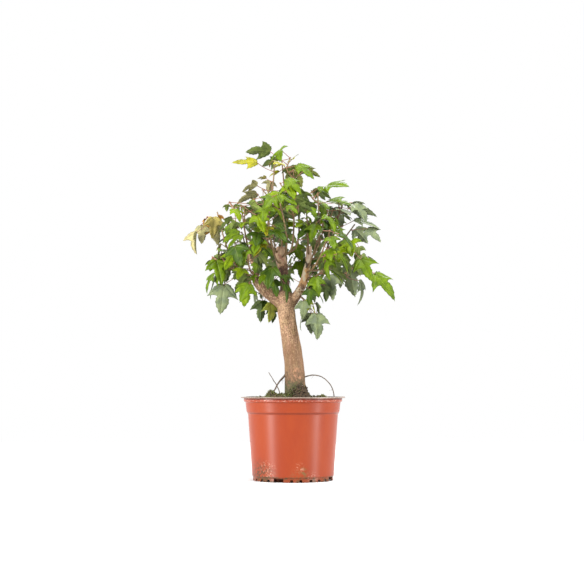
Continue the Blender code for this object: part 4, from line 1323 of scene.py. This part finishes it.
def make_roots(finish):
    """Thin surface roots and a dry stalk, a little crooked, with a few hair roots."""
    rng = random.Random(ROOT_SEED)
    for name, knots in ROOTS.items():
        batch = Batch()
        rows = []
        for point, radius in smooth(knots, 8):
            shake = Vector((noise.noise(point * 160), noise.noise(point * 160 + UP), 0)) * 0.7 * MM
            rows.append((point + shake, radius * (1 + 0.2 * noise.noise(point * 400))))
        batch.add(*tube(rows, 10))
        for _ in range(0 if name == "dry_stalk" else HAIR_ROOTS):
            start = rows[rng.randrange(6, len(rows) - 6)][0]
            way = Vector((rng.uniform(-1, 1), rng.uniform(-1, 1), rng.uniform(-1.2, 0.2))).normalized()
            length = rng.uniform(*HAIR_LENGTH) * MM
            hair = []
            for t in (0, 0.5, 1):
                hair.append((start + way * length * t + UP * t * t * -1.5 * MM, HAIR_RADIUS * (1.2 - t)))
            batch.add(*tube(hair, 5))
        made = batch.piece(name + "_skin", [finish])
        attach(made, "root")
        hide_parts(name)


def pot_profile():
    """The pot's section from the axis out along its inner side, over the rim and back under its foot."""
    lean = POT_WALL * 1.05
    return [
        (0, POT_WALL),
        (PAD_RADIUS - POT_WALL, POT_WALL),
        (PAD_RADIUS + 0.2 * MM, GUTTER_HEIGHT + POT_WALL),
        (BODY_FOOT_RADIUS - lean, GUTTER_HEIGHT + POT_WALL),
        (BODY_TOP_RADIUS - lean, BODY_TOP + 0.4 * MM),
        (COLLAR_FOOT_RADIUS - lean, COLLAR_FOOT + 0.3 * MM),
        (COLLAR_RADIUS - lean, BAND_FOOT - 0.4 * MM),
        (BAND_RADIUS - lean, BAND_FOOT + 1.0 * MM),
        (BAND_RADIUS - POT_WALL, RIM_HEIGHT),
        (RIM_RADIUS, RIM_HEIGHT),
        (RIM_RADIUS, RIM_HEIGHT - POT_WALL),
        (BAND_RADIUS, RIM_HEIGHT - POT_WALL),
        (BAND_RADIUS, BAND_FOOT),
        (COLLAR_RADIUS, BAND_FOOT - 0.8 * MM),
        (COLLAR_FOOT_RADIUS, COLLAR_FOOT),
        (BODY_TOP_RADIUS, BODY_TOP),
        (BODY_FOOT_RADIUS, BODY_FOOT),
        (FOOT_RADIUS, BODY_FOOT - 1.0 * MM),
        (FOOT_RADIUS, 0),
        (FOOT_RADIUS - 1.5 * MM, 0),
        (FOOT_RADIUS - 1.7 * MM, GUTTER_HEIGHT),
        (PAD_RADIUS + 1.2 * MM, GUTTER_HEIGHT),
        (PAD_RADIUS, 0),
        (0, 0),
    ]


def rounded(profile, radius):
    """A profile whose corners are rounded by short arcs where its sides are long enough."""
    made = [profile[0]]
    for before, here, after in zip(profile, profile[1:], profile[2:]):
        a, b, c = Vector(before), Vector(here), Vector(after)
        reach = min(radius, (a - b).length * 0.4, (c - b).length * 0.4)
        start, end = b + (a - b).normalized() * reach, b + (c - b).normalized() * reach
        for t in (0.0, 0.33, 0.67, 1.0):
            place = start * (1 - t) ** 2 + b * 2 * t * (1 - t) + end * t * t
            made.append((max(place.x, 0.0), place.y))
    return made + [profile[-1]]


def foot_openings():
    """The drains and notches to be cut from the pot's foot."""
    cutters = []
    for quarter in range(4):
        drain = DRAIN_AT + quarter * math.tau / 4
        cutters.append(block(DRAIN_WIDTH, 6 * MM, -2 * MM, DRAIN_HEIGHT, FOOT_RADIUS, drain))
        for after in NOTCHES_AFTER_DRAIN:
            cutters.append(block(NOTCH_WIDTH, 5 * MM, -2 * MM, NOTCH_HEIGHT, FOOT_RADIUS, drain + after))
    return joined(cutters)


def make_pot(finish):
    """The pot with rounded edges, a flange that waves a little, and the openings in its foot."""
    made = plain_object("nursery_pot", *turned(rounded(pot_profile(), POT_EDGE), POT_FINE_SIDES))
    for v in made.data.vertices:
        out = math.hypot(v.co.x, v.co.y)
        if out > BAND_RADIUS and v.co.z > RIM_HEIGHT - 2 * MM:
            turn = math.atan2(v.co.y, v.co.x)
            share = (out - BAND_RADIUS) / (RIM_RADIUS - BAND_RADIUS)
            v.co.z += share * RIM_WAVE * (math.sin(3 * turn + 0.6) + 0.6 * math.sin(8 * turn) - 0.6)
    tool = plain_object("foot_openings", *foot_openings())
    for mesh in (made.data, tool.data):
        cleaner = bmesh.new()
        cleaner.from_mesh(mesh)
        bmesh.ops.recalc_face_normals(cleaner, faces=cleaner.faces)
        cleaner.to_mesh(mesh)
        cleaner.free()
    soften = tool.modifiers.new("soft_corners", "BEVEL")
    soften.width = OPENING_CORNER
    soften.segments = 3
    evaluated(tool)
    step = made.modifiers.new("openings", "BOOLEAN")
    step.operation = "DIFFERENCE"
    step.solver = "EXACT"
    step.object = tool
    evaluated(made)
    bpy.data.objects.remove(tool)
    made.data.materials.clear()
    made.data.materials.append(finish)
    made.data.shade_smooth()
    made.data.set_sharp_from_angle(angle=math.radians(35))
    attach(made, "root")
    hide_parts("pot")


def soil_top():
    """The soil's uneven top, with its sides and its underside."""
    points, rows = [], []
    for n in range(SOIL_FINE_RINGS + 1):
        radius = SOIL_RADIUS * (n / SOIL_FINE_RINGS) ** 0.9
        rows.append(list(range(len(points), len(points) + SOIL_FINE_SIDES)))
        for i in range(SOIL_FINE_SIDES):
            turn = math.tau * i / SOIL_FINE_SIDES
            x, y = radius * math.cos(turn), radius * math.sin(turn)
            rough = noise.fractal(Vector((x, y, 0)) * 160, 0.7, 2.0, 5)
            points.append(Vector((x, y, ground(x, y) + rough * SOIL_GRAIN)))
    faces = [face for outer, inner in zip(rows[1:], rows) for face in between_rings(outer, inner)]
    below = [
        (SOIL_RADIUS - 1.5 * MM, SOIL_EDGE - 4 * MM),
        (BODY_FOOT_RADIUS - 4 * MM, SOIL_EDGE - 30 * MM),
        (BODY_FOOT_RADIUS - 4 * MM, GUTTER_HEIGHT + 2 * POT_WALL),
        (0, GUTTER_HEIGHT + 2 * POT_WALL),
    ]
    return joined([(points, faces), turned(below, SOIL_FINE_SIDES)])


def round_about(x, y, reach, rng):
    """A place somewhere round another, no farther than a reach."""
    turn, out = rng.uniform(0, math.tau), reach * math.sqrt(rng.random())
    return x + out * math.cos(turn), y + out * math.sin(turn)


def pebble(centre, size, rng):
    """A small uneven lump with eight faces."""
    ways = ((1, 0, 0), (0, 1, 0), (-1, 0, 0), (0, -1, 0), (0, 0, 1), (0, 0, -1))
    spin = Matrix.Rotation(rng.uniform(0, math.tau), 3, Vector((rng.random(), rng.random(), 1)))
    points = [centre + spin @ Vector(way) * size * rng.uniform(0.6, 1.1) for way in ways]
    faces = []
    for i, j in ((0, 1), (1, 2), (2, 3), (3, 0)):
        faces += [[i, j, 4], [j, i, 5]]
    return points, faces


def clinging(path, count, rng):
    """Places and outward ways on the trunk's foot where soil and moss cling, highest at its front right."""
    found = []
    for _ in range(count):
        turn = rng.uniform(0, math.tau)
        way = Vector((math.cos(turn), math.sin(turn), 0))
        tall = (10 + 11 * max(0.0, math.cos(turn + 1.0)) ** 0.7) * MM
        share = rng.random() ** 0.8
        height = SOIL_LEVEL + share * tall
        centre, radius = min(path, key=lambda step: abs(step[0].z - height))
        out = radius + (1 - share) * rng.uniform(0.0, 3.0) * MM
        found.append((Vector((centre.x, centre.y, height)) + way * out, way))
    return found


def make_soil(paths, materials):
    """The soil's uneven top, with moss, grit and crumbs on it and clinging to the trunk's foot."""
    top, moss, grit, crumbs = Batch(), Batch(), Batch(), Batch()
    top.add(*soil_top())
    rng = random.Random(SOIL_SEED)
    for mound, tufts in zip(MOUNDS, MOSS_TUFTS):
        for _ in range(tufts):
            x, y = round_about(mound.x, mound.y, mound.radius * 1.15, rng)
            if math.hypot(x, y) > SOIL_RADIUS - 1 * MM:
                continue
            foot = Vector((x, y, ground(x, y) - 0.6 * MM))
            lean = Vector((rng.uniform(-0.7, 0.7), rng.uniform(-0.7, 0.7), 1)).normalized()
            tall, thick = rng.uniform(*MOSS_HEIGHT) * MM, rng.uniform(*MOSS_RADIUS) * MM
            rings = ((0, 1), (0.7, 0.8), (1, 0.2))
            moss.add(*tube([(foot + lean * tall * up, thick * share) for up, share in rings], 4))
    for batch, (count, small, large) in ((grit, GRIT), (crumbs, CRUMBS)):
        for _ in range(count):
            x, y = round_about(0, 0, SOIL_RADIUS - 1.5 * MM, rng)
            size = rng.uniform(small, large) * MM
            batch.add(*pebble(Vector((x, y, ground(x, y) + size * 0.3)), size, rng))
    count, small, large = CLOD_CRUMBS
    for _ in range(count):
        x, y = round_about(CLOD.x, CLOD.y, CLOD.radius * 1.3, rng)
        crumbs.add(*pebble(Vector((x, y, ground(x, y))), rng.uniform(small, large) * MM, rng))
    count, small, large = CLINGING
    for place, way in clinging(paths["trunk"], count, rng):
        size = rng.uniform(small, large) * MM
        if rng.random() < 0.55 + 0.3 * way.x:
            crumbs.add(*pebble(place, size, rng))
            continue
        lean = (way + UP * rng.uniform(0.2, 1.2)).normalized()
        moss.add(*tube([(place - way * size, size * 0.5), (place + lean * size, size * 0.2)], 4))
    made = [
        top.piece("soil_top", [materials["soil"]]),
        moss.piece("moss", [materials["moss"]]),
        grit.piece("grit", [materials["grit"]]),
        crumbs.piece("crumbs", [materials["crumbs"]]),
    ]
    for piece_made in made:
        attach(piece_made, "root")
        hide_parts("soil")


def area_light(name, place, aim, width, height, power):
    """A soft box that looks at a height over the origin."""
    data = bpy.data.lights.new(name, "AREA")
    data.shape = "RECTANGLE"
    data.size, data.size_y = width, height
    data.energy = power
    made = placed(name, data)
    made.location = place
    made.rotation_euler = (Vector((0, 0, aim)) - Vector(place)).to_track_quat("-Z", "Y").to_euler()


def make_stage():
    """A plain pale floor, a pale surround and soft boxes on both sides."""
    floor = plain_object("floor", [(-1, -1, 0), (1, -1, 0), (1, 1, 0), (-1, 1, 0)], [[0, 1, 2, 3]])
    look = Look("pale_floor", (255, 255, 255), 0.9)
    look.shader.inputs["Base Color"].default_value = (FLOOR_GREY, FLOOR_GREY, FLOOR_GREY, 1)
    look.shader.inputs["Specular IOR Level"].default_value = 0.1
    floor.data.materials.append(look.material)
    floor.location.z = -0.2 * MM
    world = bpy.data.worlds.new("surround")
    world.use_nodes = True
    world.node_tree.nodes["Background"].inputs["Color"].default_value = (1, 1, 1, 1)
    world.node_tree.nodes["Background"].inputs["Strength"].default_value = 1.0
    bpy.context.scene.world = world
    for name, settings in SOFT_BOXES.items():
        area_light(name, *settings)
    bpy.context.scene.view_settings.view_transform = "Standard"


def make_camera():
    data = bpy.data.cameras.new("camera")
    data.lens = CAMERA_LENS
    data.clip_start, data.clip_end = 0.05, 50
    made = placed("camera", data)
    made.location = CAMERA_PLACE
    made.rotation_euler = (math.pi / 2 + CAMERA_RISE, 0, 0)
    bpy.context.scene.camera = made


def main():
    for old in list(bpy.data.objects):
        bpy.data.objects.remove(old)
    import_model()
    make_camera()
    make_stage()
    knots_of = {"trunk": TRUNK, **BOUGHS, **ROOTS}
    paths = {name: smooth(knots, KNOT_STEPS) for name, knots in knots_of.items()}
    make_pot(pot_look())
    make_soil(paths, {
        "soil": soil_look(),
        "moss": plain_look("moss_green", "moss", "moss light", 0.9),
        "grit": plain_look("pale_grit", "grit", "grit shade", 0.85),
        "crumbs": plain_look("soil_crumbs", "soil", "crumbs", 0.95),
    })
    make_roots(plain_look("root_skin", "root", "root shade", 0.8))
    make_wood(paths, bark_look(), cut_wood_look())
    materials = leaf_materials()
    materials["stalk"] = twig_look("leaf_stalk_red", "petiole")
    materials["shoot"] = twig_look("young_wood", "stem")
    make_foliage(paths, materials)


main()
